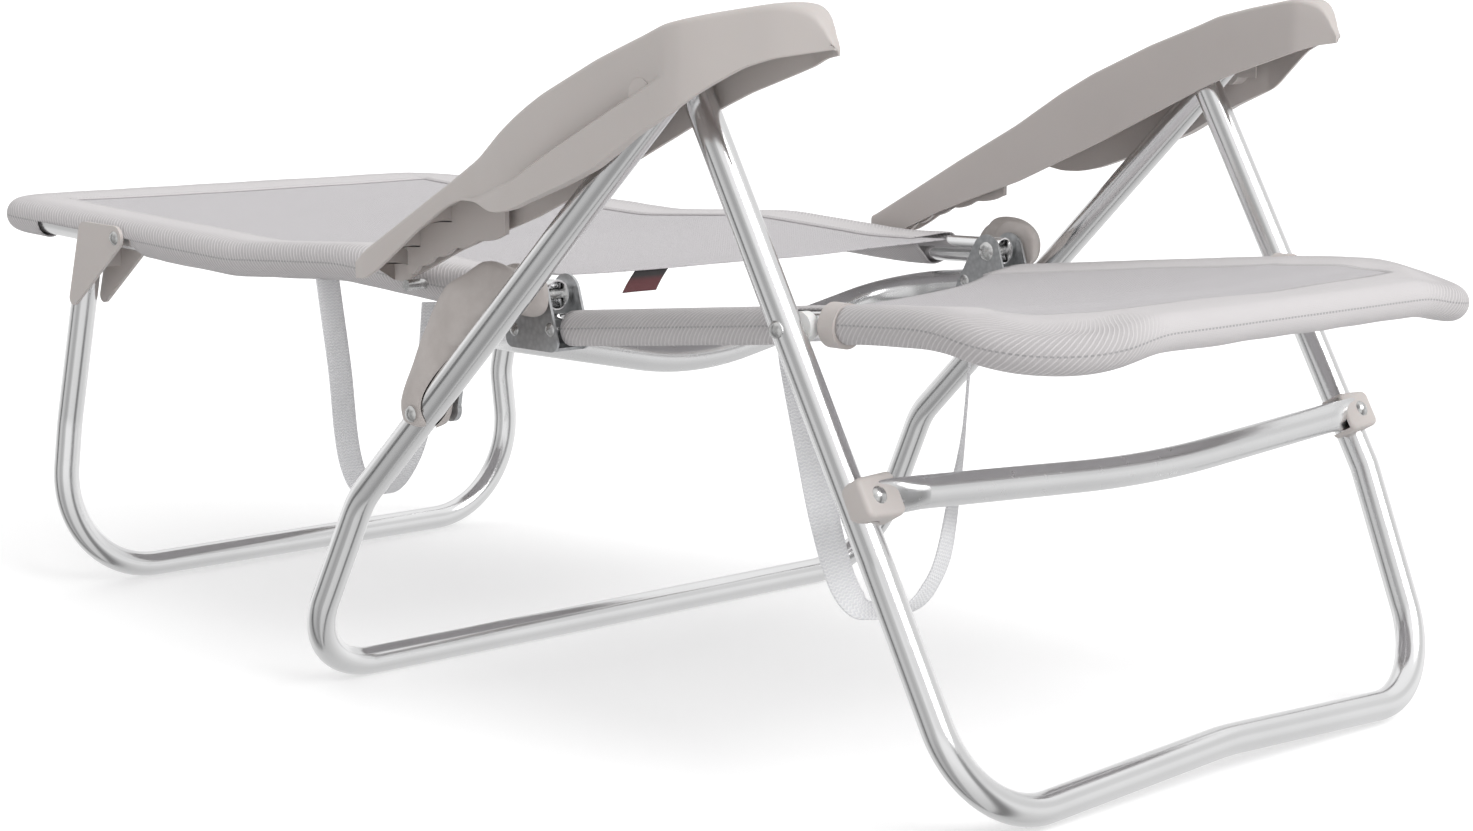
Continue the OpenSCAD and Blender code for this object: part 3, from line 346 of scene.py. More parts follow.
# ---------------------------------------------------------------- meshes
def build_mesh(name, verts, faces, uvs=None, smooth=True, mat=None):
    me = bpy.data.meshes.new(name)
    me.from_pydata([tuple(c / 1000.0 for c in v) for v in verts], [], faces)
    if uvs:
        layer = me.uv_layers.new(name="uv")
        for poly in me.polygons:
            for li, co in zip(poly.loop_indices, uvs[poly.index]):
                layer.data[li].uv = co
    for p in me.polygons:
        p.use_smooth = smooth
    me.validate()
    me.update()
    o = bpy.data.objects.new(name, me)
    scene.collection.objects.link(o)
    if mat:
        me.materials.append(M[mat])
    return o


def grid_mesh(name, rows, uv_rows, mat, wrap=False, keep=None, smooth=True):
    """A mesh over rows of points; keep(i, j) leaves a face in. wrap closes each row."""
    n = len(rows[0])
    verts = [p for r in rows for p in r]
    faces, uvs = [], []
    for i in range(len(rows) - 1):
        for j in range(n if wrap else n - 1):
            if keep and not keep(i, j):
                continue
            k = (j + 1) % n
            faces.append((i * n + j, i * n + k, (i + 1) * n + k, (i + 1) * n + j))
            if uv_rows:
                a, b = uv_rows[i], uv_rows[i + 1]
                q = j + 1
                uvs.append((a[j], a[q], b[q], b[j]))
    return build_mesh(name, verts, faces, uvs or None, smooth, mat)


def fillet(pts, rads, seg=3.0):
    """Points along a path with round corners: list of Vectors, about seg mm apart in bends."""
    pts = [Vector(p) for p in pts]
    out = [pts[0]]
    for i in range(1, len(pts) - 1):
        a, b, c = pts[i - 1], pts[i], pts[i + 1]
        u, w = (a - b).normalized(), (c - b).normalized()
        ang = u.angle(w)
        if abs(math.pi - ang) < 1e-4 or rads[i] == 0:
            out.append(b)
            continue
        t = rads[i] / math.tan(ang / 2)
        centre = b + (u + w).normalized() * rads[i] / math.sin(ang / 2)
        s = b + u * t - centre
        turn = math.pi - ang
        axis = u.cross(w).normalized()
        k = max(3, int(rads[i] * turn / seg))
        for j in range(k + 1):
            out.append(centre + Matrix.Rotation(-turn * j / k, 3, axis) @ s)
    out.append(pts[-1])
    return out


def resample(path, step):
    """The same path with a point about every step mm."""
    out = [path[0]]
    for a, b in zip(path, path[1:]):
        n = max(1, int(round((b - a).length / step)))
        out += [a.lerp(b, j / n) for j in range(1, n + 1)]
    return out


def frames(path, up=Vector((0, 0, 1))):
    """Tangent and two cross directions at each point, without twist."""
    tang = []
    for i in range(len(path)):
        a, b = path[max(i - 1, 0)], path[min(i + 1, len(path) - 1)]
        tang.append((b - a).normalized())
    x = up.cross(tang[0])
    if x.length < 0.1:
        x = Vector((1, 0, 0)).cross(tang[0])
    x.normalize()
    out = []
    for t in tang:
        x = (x - t * x.dot(t)).normalized()
        out.append((t, x, t.cross(x)))
    return out


def sweep(name, path, r, mat, sides=40, wall=1.4, shape=None, inner=26.0):
    """A tube along path with open ends that show the wall and the bore behind it."""
    fr = frames(path)
    run = [0.0]
    for a, b in zip(path, path[1:]):
        run.append(run[-1] + (b - a).length)

    def ring(i, rad, p=None):
        t, x, y = fr[i]
        sx, sy = shape(i, run) if shape else (1.0, 1.0)
        at = path[i] if p is None else p
        return [at + x * rad * sx * math.cos(2 * math.pi * k / sides)
                + y * rad * sy * math.sin(2 * math.pi * k / sides) for k in range(sides)]

    rows = []
    vs = []
    last = len(path) - 1
    if not shape:
        for d in (inner, 0.0):
            rows.append(ring(0, r - wall, path[0] + fr[0][0] * d))
            vs.append(-d)
        rows.append(ring(0, r - 0.3, path[0]))
        vs.append(0)
        rows.append(ring(0, r, path[0] + fr[0][0] * 0.3))
        vs.append(0.3)
    for i in range(0 if shape else 1, last + 1 if shape else last):
        rows.append(ring(i, r))
        vs.append(run[i])
    if not shape:
        rows.append(ring(last, r, path[last] - fr[last][0] * 0.3))
        vs.append(run[last])
        rows.append(ring(last, r - 0.3, path[last]))
        vs.append(run[last])
        for d in (0.0, inner):
            rows.append(ring(last, r - wall, path[last] - fr[last][0] * d))
            vs.append(run[last] + d)
    uv = [[(k / sides, v / 1000.0) for k in range(sides + 1)] for v in vs]
    o = grid_mesh(name, rows, uv, mat, wrap=True)
    me = o.data
    bm = bmesh.new()
    bm.from_mesh(me)
    bmesh.ops.holes_fill(bm, edges=[e for e in bm.edges if e.is_boundary])
    bmesh.ops.recalc_face_normals(bm, faces=bm.faces)
    bm.to_mesh(me)
    bm.free()
    sharp_by_angle(o, 35)
    return o


def sharp_by_angle(o, deg):
    bm = bmesh.new()
    bm.from_mesh(o.data)
    for e in bm.edges:
        if len(e.link_faces) == 2 and e.calc_face_angle(0.0) > math.radians(deg):
            e.smooth = False
    bm.to_mesh(o.data)
    bm.free()


def put(o, body, slot, *stands_for):
    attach(o, body)
    if stands_for:
        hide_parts(*stands_for)
    return o


def mirror_pts(pts):
    return [(-p[0], p[1], p[2]) for p in reversed(pts)]


def lerp_table(y, table):
    if y <= table[0][0]:
        return table[0][1]
    for (a, va), (b, vb) in zip(table, table[1:]):
        if y <= b:
            return va + (vb - va) * (y - a) / (b - a)
    return table[-1][1]


# ---------------------------------------------------------------- frame tubes
R = 11.0
SIDE = 245.0
seat_side = [(SIDE, -150, 291), (SIDE, -441, 320), (SIDE, -516, 323.5), (SIDE, -606, 305)]
seat_bar = [(150, -606, 321), (-150, -606, 321)]
seat_path = fillet(seat_side + seat_bar + mirror_pts(seat_side), [0, 300, 150, 65, 150, 150, 65, 150, 300, 0])
back_side = [(SIDE, -152, 315), (SIDE, -41, 312), (SIDE, 97, 320), (SIDE, 241, 312), (SIDE, 606, 328)]
back_path = fillet(back_side + mirror_pts(back_side), [0, 300, 300, 300, 50, 50, 300, 300, 300, 0])
head_side = [(SIDE, 465, 288), (246, 500, 150), (262, 500, 11)]
head_path = fillet(head_side + mirror_pts(head_side), [0, 60, 90, 90, 60, 0])


def past(a, b, d):
    """a moved d mm away from b."""
    a, b = Vector(a), Vector(b)
    return a + (a - b).normalized() * d


front_top = past((275, -326, 466), (275, -410, 316.91), 14)
front_side = [front_top, (273, -490, 173), (259, -564, 11)]
front_path = fillet(front_side + [(0, -564, 23)] + mirror_pts(front_side), [0, 60, 73, 300, 73, 60, 0])
rear_top = past((298, -326, 466), (310, -4, 156), 14)
rear_side = [rear_top, (310, -4, 156), (318, 67, 11)]
rear_path = fillet(rear_side + mirror_pts(rear_side), [0, 70, 67, 67, 70, 0])
stretch_side = [(SIDE, -137, 289), (235, -40, 278)]
stretch_path = fillet(stretch_side + [(0, -33, 231)] + mirror_pts(stretch_side), [0, 60, 300, 60, 0])

put(sweep("seat_tube", seat_path, R, "tube"), "seat", "frame_tube", "seat_frame")
put(sweep("backrest_tube", back_path, R, "tube"), "backrest", "frame_tube", "backrest_frame")
put(sweep("head_leg_tube", head_path, R, "tube"), "head_leg", "frame_tube", "head_leg")
put(sweep("front_leg_tube", front_path, R, "tube"), "front_leg", "frame_tube", "front_leg")
put(sweep("rear_leg_tube", rear_path, R, "tube"), "rear_leg", "frame_tube", "rear_leg")
put(sweep("stretcher_tube", stretch_path, R, "brace"), "seat", "brace_tube", "stretcher_bar")

# Cross brace: round in the middle, pressed flat towards the tabs
brace_mid = [(228, -485, 214), (0, -494, 203), (-228, -485, 214)]
brace_ends = (Vector((272, -482.5, 214.2)), Vector((-272, -482.5, 214.2)))
brace_path = fillet([brace_ends[0]] + brace_mid + [brace_ends[1]], [0, 30, 1200, 30, 0])
brace_path = resample(brace_path, 5.0)


def brace_shape(i, run):
    d = min(run[i], run[-1] - run[i])
    t = max(0.0, min(1.0, (d - 14) / 34.0))
    t = t * t * (3 - 2 * t)
    return (0.28 + 0.72 * t, 1.10 - 0.10 * t)


put(sweep("cross_brace_tube", brace_path, R, "brace", shape=brace_shape),
    "front_leg", "brace_tube", "cross_brace")


# ---------------------------------------------------------------- slings
SR = 12.5          # outside of the fabric on the tube
seat_z = [(p[1], p[2]) for p in reversed(seat_side)]
back_z = [(p[1], p[2]) for p in back_side]


def soft_table(y, table, w=14.0):
    return sum(lerp_table(y + d * w, table) for d in (-1, -0.5, 0, 0.5, 1)) / 5.0


def seat_top(x, y):
    """Height of the seat cloth: over the side tubes and the level front bar, slack at the rear."""
    far = max(0.0, min(1.0, (y + 606.0) / 389.0))
    s = min(1.0, abs(x) / SIDE)
    side = soft_table(y, seat_z)
    left = max(0.0, min(1.0, (-441.0 - y) / 75.0))
    rise = 16.0 * min(1.0, max(0.0, SIDE - abs(x)) / 95.0) * left
    z = min(side + rise, max(side, 321.0)) + SR + 0.6 - 16.0 * min(1.0, 2 * far) * (1 - s * s)
    wr = noise.noise(Vector((x / 90.0, y / 140.0, 3.1))) * 1.4 * (1 - s ** 6)
    near = math.exp(-((abs(x) - 205) ** 2 + (y + 565) ** 2) / 2200.0)
    return z + wr + math.sin((abs(x) + (y + 596) * 0.8) / 10.0) * 0.45 * near


def back_top(x, y):
    near = max(0.0, min(1.0, (606.0 - y) / 720.0))
    s = min(1.0, abs(x) / SIDE)
    z = soft_table(y, back_z) + SR + 0.6 - 6.0 * (1 - s * s) * min(1.0, 6 * near)
    wr = noise.noise(Vector((x / 110.0, y / 130.0, 8.7))) * 1.3 * (1 - s ** 6)
    return z + wr


def cut_path(path, start, end):
    """The part of a path whose arc length runs from start to end."""
    out, run = [], 0.0
    for a, b in zip(path, path[1:]):
        d = (b - a).length
        for at in sorted((run, run + d, start, end)):
            if max(run, start) <= at <= min(run + d, end):
                p = a.lerp(b, (at - run) / d)
                if not out or (out[-1] - p).length > 0.5:
                    out.append(p)
        run += d
    return out


def length(path):
    return sum((b - a).length for a, b in zip(path, path[1:]))


ANGLES = list(range(318, 88, -10))
SLEEVE = [(22.0, 4.0), (17.0, -1.5)] + [
    (SR * math.cos(math.radians(t)), SR * math.sin(math.radians(t))) for t in ANGLES]
FLAP = [5.0, 10.0, 16.0, 23.0, 31.0, 39.0, 47.0]


def marked(path, start, end, marks, step):
    """The path from arc length start to end with a point at each mark, and points about step mm apart."""
    stops = [start] + sorted(m for m in marks if start < m < end) + [end]
    out = []
    for a, b in zip(stops, stops[1:]):
        part = resample(cut_path(path, a, b), step)
        out += part if not out else part[1:]
    return out


def arc_at(path, test):
    """Arc length of the first point of the path at which test is true."""
    run = 0.0
    for a, b in zip(path, path[1:]):
        if test(b):
            lo, hi = 0.0, 1.0
            for _ in range(20):
                m = (lo + hi) / 2
                lo, hi = (lo, m) if test(a.lerp(b, m)) else (m, hi)
            return run + (b - a).length * hi
        run += (b - a).length
    return run


def sling_band(name, path, top, turn, cut_out, slants, seed=0.0):
    """Sleeve round the tube and the flap that joins it to the panel, along path.

    cut_out(p, angle) leaves fabric out; slants are (arc length, run, reach) where an edge runs aslant."""
    fr = frames(path)
    rows, uvr, run = [], [], 0.0
    for i, p in enumerate(path):
        t = fr[i][0]
        inward = Vector((-t.y, t.x, 0)).normalized() * turn
        if i:
            run += (p - path[i - 1]).length
        row, uvs, width, prev = [], [], 0.0, None
        for k, (n, z) in enumerate(SLEEVE):
            ang = ANGLES[k - 2] if k > 1 else 330
            puff = 0.35 * noise.noise(Vector((p.x / 30 + seed, p.y / 30, (n + z) / 16)))
            q = p + inward * n * (1 + puff / 12) + Vector((0, 0, z * (1 + puff / 12)))
            if z < 0 and n < 16:
                q.z -= 0.5 + 0.8 * max(0, noise.noise(Vector((p.x / 55, p.y / 55, seed))))
            low = max(0.0, min(1.0, (ang - 150.0) / 110.0))
            for at, shift, reach in slants:
                q += t * shift * low * math.exp(-((run - at) / reach) ** 2)
            row.append(q)
        for n in FLAP:
            q = p + inward * n
            z = top(q.x, q.y)
            blend_in = min(1.0, n / 16.0)
            q.z = (p.z + SR) * (1 - blend_in) + z * blend_in if n < 16 else z
            if n > 44:
                q.z -= 0.45
            row.append(q)
        for q in row:
            if prev is not None:
                width += (q - prev).length
            uvs.append((width / 1000.0, run / 1000.0))
            prev = q
        rows.append(row)
        uvr.append(uvs)
    even = [sum(u[j][0] for u in uvr) / len(uvr) for j in range(len(uvr[0]))]
    uvr = [[(even[j], u[j][1]) for j in range(len(u))] for u in uvr]

    def keep(i, j):
        ang = (ANGLES[j - 2] if j > 1 else 330) if j < len(SLEEVE) - 1 else 90
        return not cut_out((path[i] + path[i + 1]) / 2, ang)

    o = grid_mesh(name, rows, uvr, "band", keep=keep)
    thick(o, 1.1)
    return o, length(path)


def thick(o, mm, offset=-1.0):
    m = o.modifiers.new("thickness", "SOLIDIFY")
    m.thickness = mm / 1000.0
    m.offset = offset
    m.use_even_offset = False
    apply_all(o)


def apply_all(o):
    dg = bpy.context.evaluated_depsgraph_get()
    me = bpy.data.meshes.new_from_object(o.evaluated_get(dg))
    o.modifiers.clear()
    o.data = me
    for p in me.polygons:
        p.use_smooth = True


def panel(name, half, y_front, y_rear, top, nx=56, ny=70, seed=0.0):
    """The middle cloth, edge to edge under the flaps."""
    rows, uvr = [], []
    for i in range(ny + 1):
        row, uvs = [], []
        for j in range(nx + 1):
            s = 2.0 * j / nx - 1
            a, b = y_front(s), y_rear(s)
            y = a + (b - a) * i / ny
            x = half(y) * s
            row.append(Vector((x, y, top(x, y) - 0.5)))
            uvs.append((x / 1000.0, y / 1000.0))
        rows.append(row)
        uvr.append(uvs)
    o = grid_mesh(name, rows, uvr, "sling")
    thick(o, 1.0)
    return o


def round_half(y, edge, r, inset):
    """Half width inside a frame whose corners have radius r, drawn in by inset."""
    t = abs(y - edge)
    x = SIDE if t >= r else SIDE - r + math.sqrt(max(0.0, r * r - (r - t) ** 2))
    return x - inset


# seat
BREAK = (-395, -437)    # the sleeve is left open here for the leg pivot, but for its top
seat_run = marked(seat_path, 19.0, length(seat_path) - 19.0,
                  [arc_at(seat_path, lambda p: p.y < v) for v in BREAK]
                  + [length(seat_path) - arc_at(seat_path, lambda p: p.y < v) for v in BREAK], 7.0)
seat_band, seat_long = sling_band(
    "seat_edge_band", seat_run, seat_top, -1.0,
    lambda p, ang: abs(p.x) > 200 and BREAK[1] < p.y < BREAK[0] and ang > 121, [], seed=1.0)
put(seat_band, "seat", "sling_fabric", "seat_sleeves")


def seat_rear(s):
    return -217.0 + 50.0 * s * s


seat_cloth = panel("seat_sling", lambda y: round_half(y, -606, 65, 34.0), lambda s: -566.0,
                   seat_rear, seat_top)
put(seat_cloth, "seat", "sling_fabric", "seat_panel")

# backrest
side_end = arc_at(list(reversed(back_path)), lambda p: p.y > 383.0)
head_start = arc_at(list(reversed(back_path)), lambda p: p.y > 523.0)
back_all = length(back_path)
back_run = marked(back_path, 62.0, back_all - 62.0,
                  [side_end, head_start, back_all - side_end, back_all - head_start], 8.0)
run_0 = 62.0


def back_out(p, ang):
    return 383.0 < p.y < 523.0 and ang > 186


back_band, back_long = sling_band(
    "backrest_edge_band", back_run, back_top, 1.0, back_out,
    [(side_end - run_0, -20.0, 30.0), (back_all - side_end - run_0, 20.0, 30.0),
     (0.0, 15.0, 25.0), (back_all - 2 * run_0, -15.0, 25.0)], seed=4.0)
put(back_band, "backrest", "sling_fabric", "backrest_sleeves", "head_sleeve")


def back_front(s):
    return -117.0 - 12.0 * (s * s - 1)


back_cloth = panel("backrest_sling", lambda y: round_half(y, 606, 50, 34.0), back_front,
                   lambda s: 566.0, back_top)
put(back_cloth, "backrest", "sling_fabric", "backrest_panel")


# ---------------------------------------------------------------- straps
def strap(name, x, y, z, drop, shares, w, t, body, cad):
    pts = [Vector((-(x + s[0] * drop), y + s[1] * drop, z - s[2] * drop)) for s in shares]
    turns = [s[3] for s in shares]
    n = 12
    path, ang = [], []
    for i in range(len(pts) - 1):
        p0, p1, p2, p3 = pts[max(i - 1, 0)], pts[i], pts[i + 1], pts[min(i + 2, len(pts) - 1)]
        for j in range(n):
            k = j / n
            path.append(0.5 * ((2 * p1) + (p2 - p0) * k + (2 * p0 - 5 * p1 + 4 * p2 - p3) * k * k
                               + (3 * p1 - p0 - 3 * p2 + p3) * k ** 3))
            ang.append(turns[i] + (turns[i + 1] - turns[i]) * k)
    path.append(pts[-1])
    ang.append(turns[-1])
    rows, uvr, run = [], [], 0.0
    for i, p in enumerate(path):
        along = (path[min(i + 1, len(path) - 1)] - path[max(i - 1, 0)]).normalized()
        flat = Vector((-math.cos(math.radians(ang[i])), math.sin(math.radians(ang[i])), 0))
        wide = (flat - along * flat.dot(along)).normalized()
        thin = along.cross(wide)
        if i:
            run += (p - path[i - 1]).length
        row, uvs = [], []
        for a, b in ((-1, -0.6), (-0.97, -1), (-0.5, -0.9), (0, -1), (0.5, -0.9), (0.97, -1), (1, -0.6),
                     (1, 0.6), (0.97, 1), (0.5, 0.9), (0, 1), (-0.5, 0.9), (-0.97, 1), (-1, 0.6)):
            row.append(p + wide * a * w / 2 + thin * b * t / 2)
            uvs.append((a * 0.5 + 0.5, run / 1000.0))
        uvs.append(uvs[0])
        rows.append(row)
        uvr.append(uvs)
    o = grid_mesh(name, rows, uvr, "webbing", wrap=True)
    put(o, body, "webbing", cad)
    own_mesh(o)
    return o


STRAP_W, STRAP_T = 22, 1.6
front_shares = [
    (0, 0, 0, 25), (0, -0.02, 0.105, 25), (-0.006, -0.094, 0.393, 25), (-0.017, -0.159, 0.66, 20),
    (-0.04, -0.222, 0.87, 15), (-0.074, -0.267, 0.964, 10), (-0.125, -0.31, 0.995, 5),
    (-0.182, -0.361, 1, 0), (-0.239, -0.401, 0.978, -5), (-0.301, -0.429, 0.918, -10),
    (-0.358, -0.452, 0.793, -14), (-0.415, -0.449, 0.574, -22), (-0.449, -0.466, 0.305, -38),
    (-0.455, -0.494, -0.116, -41)]
rear_shares = [
    (0, 0, 0, 0), (0, -0.03, 0.15, 0), (0, -0.09, 0.45, 0), (0, -0.13, 0.75, 0),
    (0, -0.18, 0.91, 0), (0.01, -0.28, 1, 0), (0.02, -0.42, 1, 0), (0.03, -0.55, 0.93, 0),
    (0.03, -0.67, 0.78, 0), (0.03, -0.755, 0.58, 0), (0.02, -0.80, 0.35, 0), (0, -0.815, 0.05, 0)]
front_z = lerp_table(-380, seat_z) - 12.5 - 0.3
rear_z = lerp_table(124, back_z) - 12.5 - 0.3
strap("front_strap", 238, -380, front_z, 176, front_shares, STRAP_W, STRAP_T, "seat",
      "front_carry_strap")
strap("rear_strap", 243, 124, rear_z, 162, rear_shares, STRAP_W, STRAP_T, "backrest",
     "rear_carry_strap")


# ---------------------------------------------------------------- armrests
ARM_TOP = [(-452, 495), (-446, 513), (-438, 521), (-425, 524.5), (-412, 523.5), (-379, 517.5), (-350, 511),
           (-332, 504), (-284, 487), (-227, 463), (-194, 446), (-147, 418), (-87, 387), (-40, 361.5),
           (13, 333)]
ARM_IN = [(-461, 493.5), (-437, 490), (-401, 478), (-364, 466), (-339, 456), (-296, 436), (-238, 409),
          (-152, 372), (-97, 353), (-63, 341), (-33, 328), (1, 314), (13, 314)]
ARM_OUT = [(-461, 494.5), (-451, 496), (-419, 490), (-402, 484), (-386, 474), (-374, 466), (-358, 454),
           (-324, 439), (-281, 415), (-253, 404), (-219, 392), (-193, 383), (-174, 379), (-158, 379),
           (-137, 384), (-119, 384), (-101, 378), (-69, 360), (-20, 328), (-3, 319), (13, 318)]
ARM_PLAN = [(-452, 276), (-420, 299), (-380, 321), (-365, 328), (-354, 330), (-343, 330.3), (-301, 329.5),
            (-211, 325), (-176, 320), (-139, 310), (-101, 306), (-1, 303.5), (13, 299)]
ARM_INNER = [(-452, 271.5), (-421, 260), (13, 260)]
GROOVE = [(-352, 0.0), (-345, 3.0), (-301, 8.5), (-243, 8.5), (-191, 5.0), (-133, 1.5), (-122, 0.0)]
GROOVE_Z = [(-346, 478.5), (-304, 460), (-287, 452), (-243, 431.5), (-191, 405), (-130, 385)]


def soft_lookup(y, table, w=4.0):
    return (lerp_table(y - w, table) + 2 * lerp_table(y, table) + lerp_table(y + w, table)) / 4.0


def arm_section(y):
    """Outline points (x, z) of the shell at y: inner bottom, up, over the top, down outside, back inside."""
    zt, zi, zo, xo = (soft_lookup(y, tab) for tab in (ARM_TOP, ARM_IN, ARM_OUT, ARM_PLAN))
    xi = soft_lookup(y, ARM_INNER)
    zi, zo = min(zi, zt - 2.0), min(zo, zt - 2.0)
    w = xo - xi
    rt = min(3.5, w * 0.3, (zt - zi) * 0.45)
    ro = min(5.0, w * 0.4, (zt - zo) * 0.45)
    crown = 3.6 * min(1.0, w / 60.0)
    pts = [(xi, zi)]
    pts += [(xi, zi + (zt - rt - zi) * k) for k in (0.33, 0.66)]
    for k in range(0, 5):
        a = math.pi - math.pi / 2 * k / 4
        pts.append((xi + rt + rt * math.cos(a), zt - rt + rt * math.sin(a)))
    for k in range(1, 8):
        s = k / 8.0
        pts.append((xi + rt + (w - rt - ro) * s, zt + crown * 4 * s * (1 - s) * 0.5))
    for k in range(0, 7):
        a = math.pi / 2 - math.pi / 2 * k / 6
        pts.append((xo - ro + ro * math.cos(a), zt - ro + ro * math.sin(a)))
    dep = lerp_table(y, GROOVE)
    zb = zt - ro
    gz = max(min(lerp_table(y, GROOVE_Z), zb - 3.0), zo + 3.0)
    ledge = min(5.0, max(1.0, (gz - zo) * 0.5))
    for k in (0.3, 0.6, 0.85, 1.0):
        pts.append((xo - dep * k ** 1.4, max(zb + (gz - zb) * k, zo + 0.8)))
    for out, down in ((-0.95, 0.16), (-0.45, 0.45), (0.04, 1.0)):
        pts.append((xo + out * dep, max(gz - down * ledge, zo + 0.7)))
    pts.append((xo + 0.10 * dep, zo + (pts[-1][1] - zo) * 0.5))
    pts.append((xo, zo + 0.5))
    pts.append((xo - 0.6, zo))
    return pts, (zt, zi, zo, xo, xi)


def add_prism(bm, ring_a, ring_b):
    """A closed prism between two rings of points in mm."""
    n = len(ring_a)
    va = [bm.verts.new(Vector(q) / 1000.0) for q in ring_a]
    vb = [bm.verts.new(Vector(q) / 1000.0) for q in ring_b]
    for k in range(n):
        bm.faces.new((va[k], va[(k + 1) % n], vb[(k + 1) % n], vb[k]))
    bm.faces.new(list(reversed(va)))
    bm.faces.new(vb)


PIVOT_Y, PIVOT_Z, HINGE_Y, HINGE_Z = -326.0, 466.0, -145.0, 315.0
PIN_Y, PIN_Z = -17.0, lerp_table(-17, back_z)


def pin_in_arm(t):
    """Place of the rack pin in the armrest's own frame at a recline of t degrees."""
    r = math.hypot(PIN_Y - HINGE_Y, PIN_Z - HINGE_Z)
    a = math.atan2(PIN_Z - HINGE_Z, PIN_Y - HINGE_Y) + math.radians(t)
    y, z = HINGE_Y + r * math.cos(a) - PIVOT_Y, HINGE_Z + r * math.sin(a) - PIVOT_Z
    b = math.radians(-0.32 * t)
    return PIVOT_Y + y * math.cos(b) - z * math.sin(b), PIVOT_Z + y * math.sin(b) + z * math.cos(b)


def armrest(side):
    name = "left" if side < 0 else "right"
    ys = []
    y = -452.0
    while y < 13.0:
        ys.append(y)
        y += 2.0 if y < -405 or -380 < y < -335 else 3.5
    ys.append(13.0)
    rows = []
    wall = 3.0
    for y in ys:
        outer, (zt, zi, zo, xo, xi) = arm_section(y)
        w = max(0.4, min(wall, (xo - xi) * 0.3))
        dep = lerp_table(y, GROOVE)
        wo = w + dep * 0.8
        deep = min(1.0, (xo - xi) / 24.0)
        inner = [(xo - wo, zo), (xo - wo, zo + (zt - zo) * 0.5), (xo - wo - 2 * deep, zt - w - 1.5),
                 (xo - wo - 6 * deep, zt - w), (xi + w + 5 * deep, zt - w), (xi + w + deep, zt - w - 3),
                 (xi + w, zi + (zt - zi) * 0.5), (xi + w, zi)]
        inner = [(x, max(z, min(zi, zo))) for x, z in inner]
        rows.append([Vector((side * x, y, z)) for x, z in outer + inner])
    o = grid_mesh("armrest_shell_" + name, rows, None, "beige", wrap=True)
    bm = bmesh.new()
    bm.from_mesh(o.data)
    bm.verts.ensure_lookup_table()
    n = len(rows[0])
    for base in (0, (len(rows) - 1) * n):
        bm.faces.new([bm.verts[base + k] for k in range(n)])
    # cross ribs, each with a scooped lower edge
    for yr in (-146.0, -110.0, -68.0, -31.0, -4.0):
        _, (zt, zi, zo, xo, xi) = arm_section(yr)
        lo_z = max(zt - 16.0, zo + 2.0)
        x0, x1 = xi + 2.0, xo - 2.0
        prof = [(x0, zt - 2), (x0, lo_z)] + [
            (x0 + (x1 - x0) * k / 6, lo_z + 3.5 * math.sin(math.pi * k / 6)) for k in range(1, 6)] + [
            (x1, lo_z), (x1, zt - 2)]
        add_prism(bm, [(side * x, yr - 1.1, z) for x, z in prof], [(side * x, yr + 1.1, z) for x, z in prof])
    # webs round the pivot: one across, two along
    webs = ((-327.2, -324.8, 262, 327.5), (-352, -300, 286.2, 287.6), (-352, -300, 309.6, 311.4))
    for ya, yb, xa, xb in webs:
        _, (zt, zi, zo, xo, xi) = arm_section((ya + yb) / 2)
        top_a, top_b = arm_section(ya)[1][0] - 2, arm_section(yb)[1][0] - 2
        low = 480.0 if xa < 300 else 462.0
        a = [(side * xa, ya, low), (side * xb, ya, low), (side * xb, ya, top_a), (side * xa, ya, top_a)]
        b = [(side * xa, yb, low), (side * xb, yb, low), (side * xb, yb, top_b), (side * xa, yb, top_b)]
        add_prism(bm, a, b)
    # pivot boss
    ring = [(PIVOT_Y + 10 * math.cos(2 * math.pi * k / 32), PIVOT_Z + 10 * math.sin(2 * math.pi * k / 32))
            for k in range(32)]
    add_prism(bm, [(side * 309.3, a, b) for a, b in ring], [(side * 326.5, a, b) for a, b in ring])
    # notched rack over the pin's path
    low = []
    for t in range(0, 71, 2):
        py, pz = pin_in_arm(t)
        low.append((py, pz + 5.5 + 2.2 * (0.5 + 0.5 * math.cos(2 * math.pi * t / 14.0)) ** 2))
    prof = low + [(py, arm_section(py)[1][0] - 2.0) for py, _ in reversed(low)]
    add_prism(bm, [(side * 270, a, b) for a, b in prof], [(side * 274, a, b) for a, b in prof])
    bmesh.ops.triangulate(bm, faces=[f for f in bm.faces if len(f.verts) > 4])
    bmesh.ops.recalc_face_normals(bm, faces=bm.faces)
    bm.to_mesh(o.data)
    bm.free()
    for p in o.data.polygons:
        p.use_smooth = True
    sharp_by_angle(o, 33)
    put(o, "armrest_" + name, "beige_plastic", "armrest_" + name)
    return o


armrest(-1)
armrest(1)

# ---------------------------------------------------------------- vinyl sheaths over the links
# Each section: centre, and half widths along the fore-and-aft and the cross direction
SHEATH = [
    ((263.6, -147, 317), (0, 8, 0), (0, 0, 8)), ((265.6, -147, 317.5), (0, 19, 0), (0, 0, 17)),
    ((273, -140, 320), (-3, 22, 1), (0, 2, 17.5)), ((283, -127, 318), (-7, 23, 9), (5, -1, 15)),
    ((291, -111, 305), (-2, 22, 14), (13, 1, 4)), ((297, -94, 281), (0, 21, 7), (14, 0, 1)),
    ((301, -82, 256), (0, 18, 4), (16, 0, 0)), ((303.5, -76, 238), (0, 18, 1), (17.5, 0, 0)),
    ((304, -75, 226), (0, 15.5, 0), (17, 0, 0)), ((304, -75, 220), (0, 12, 0), (14, 0, 0)),
    ((304, -75, 217), (0, 7, 0), (8, 0, 0))]


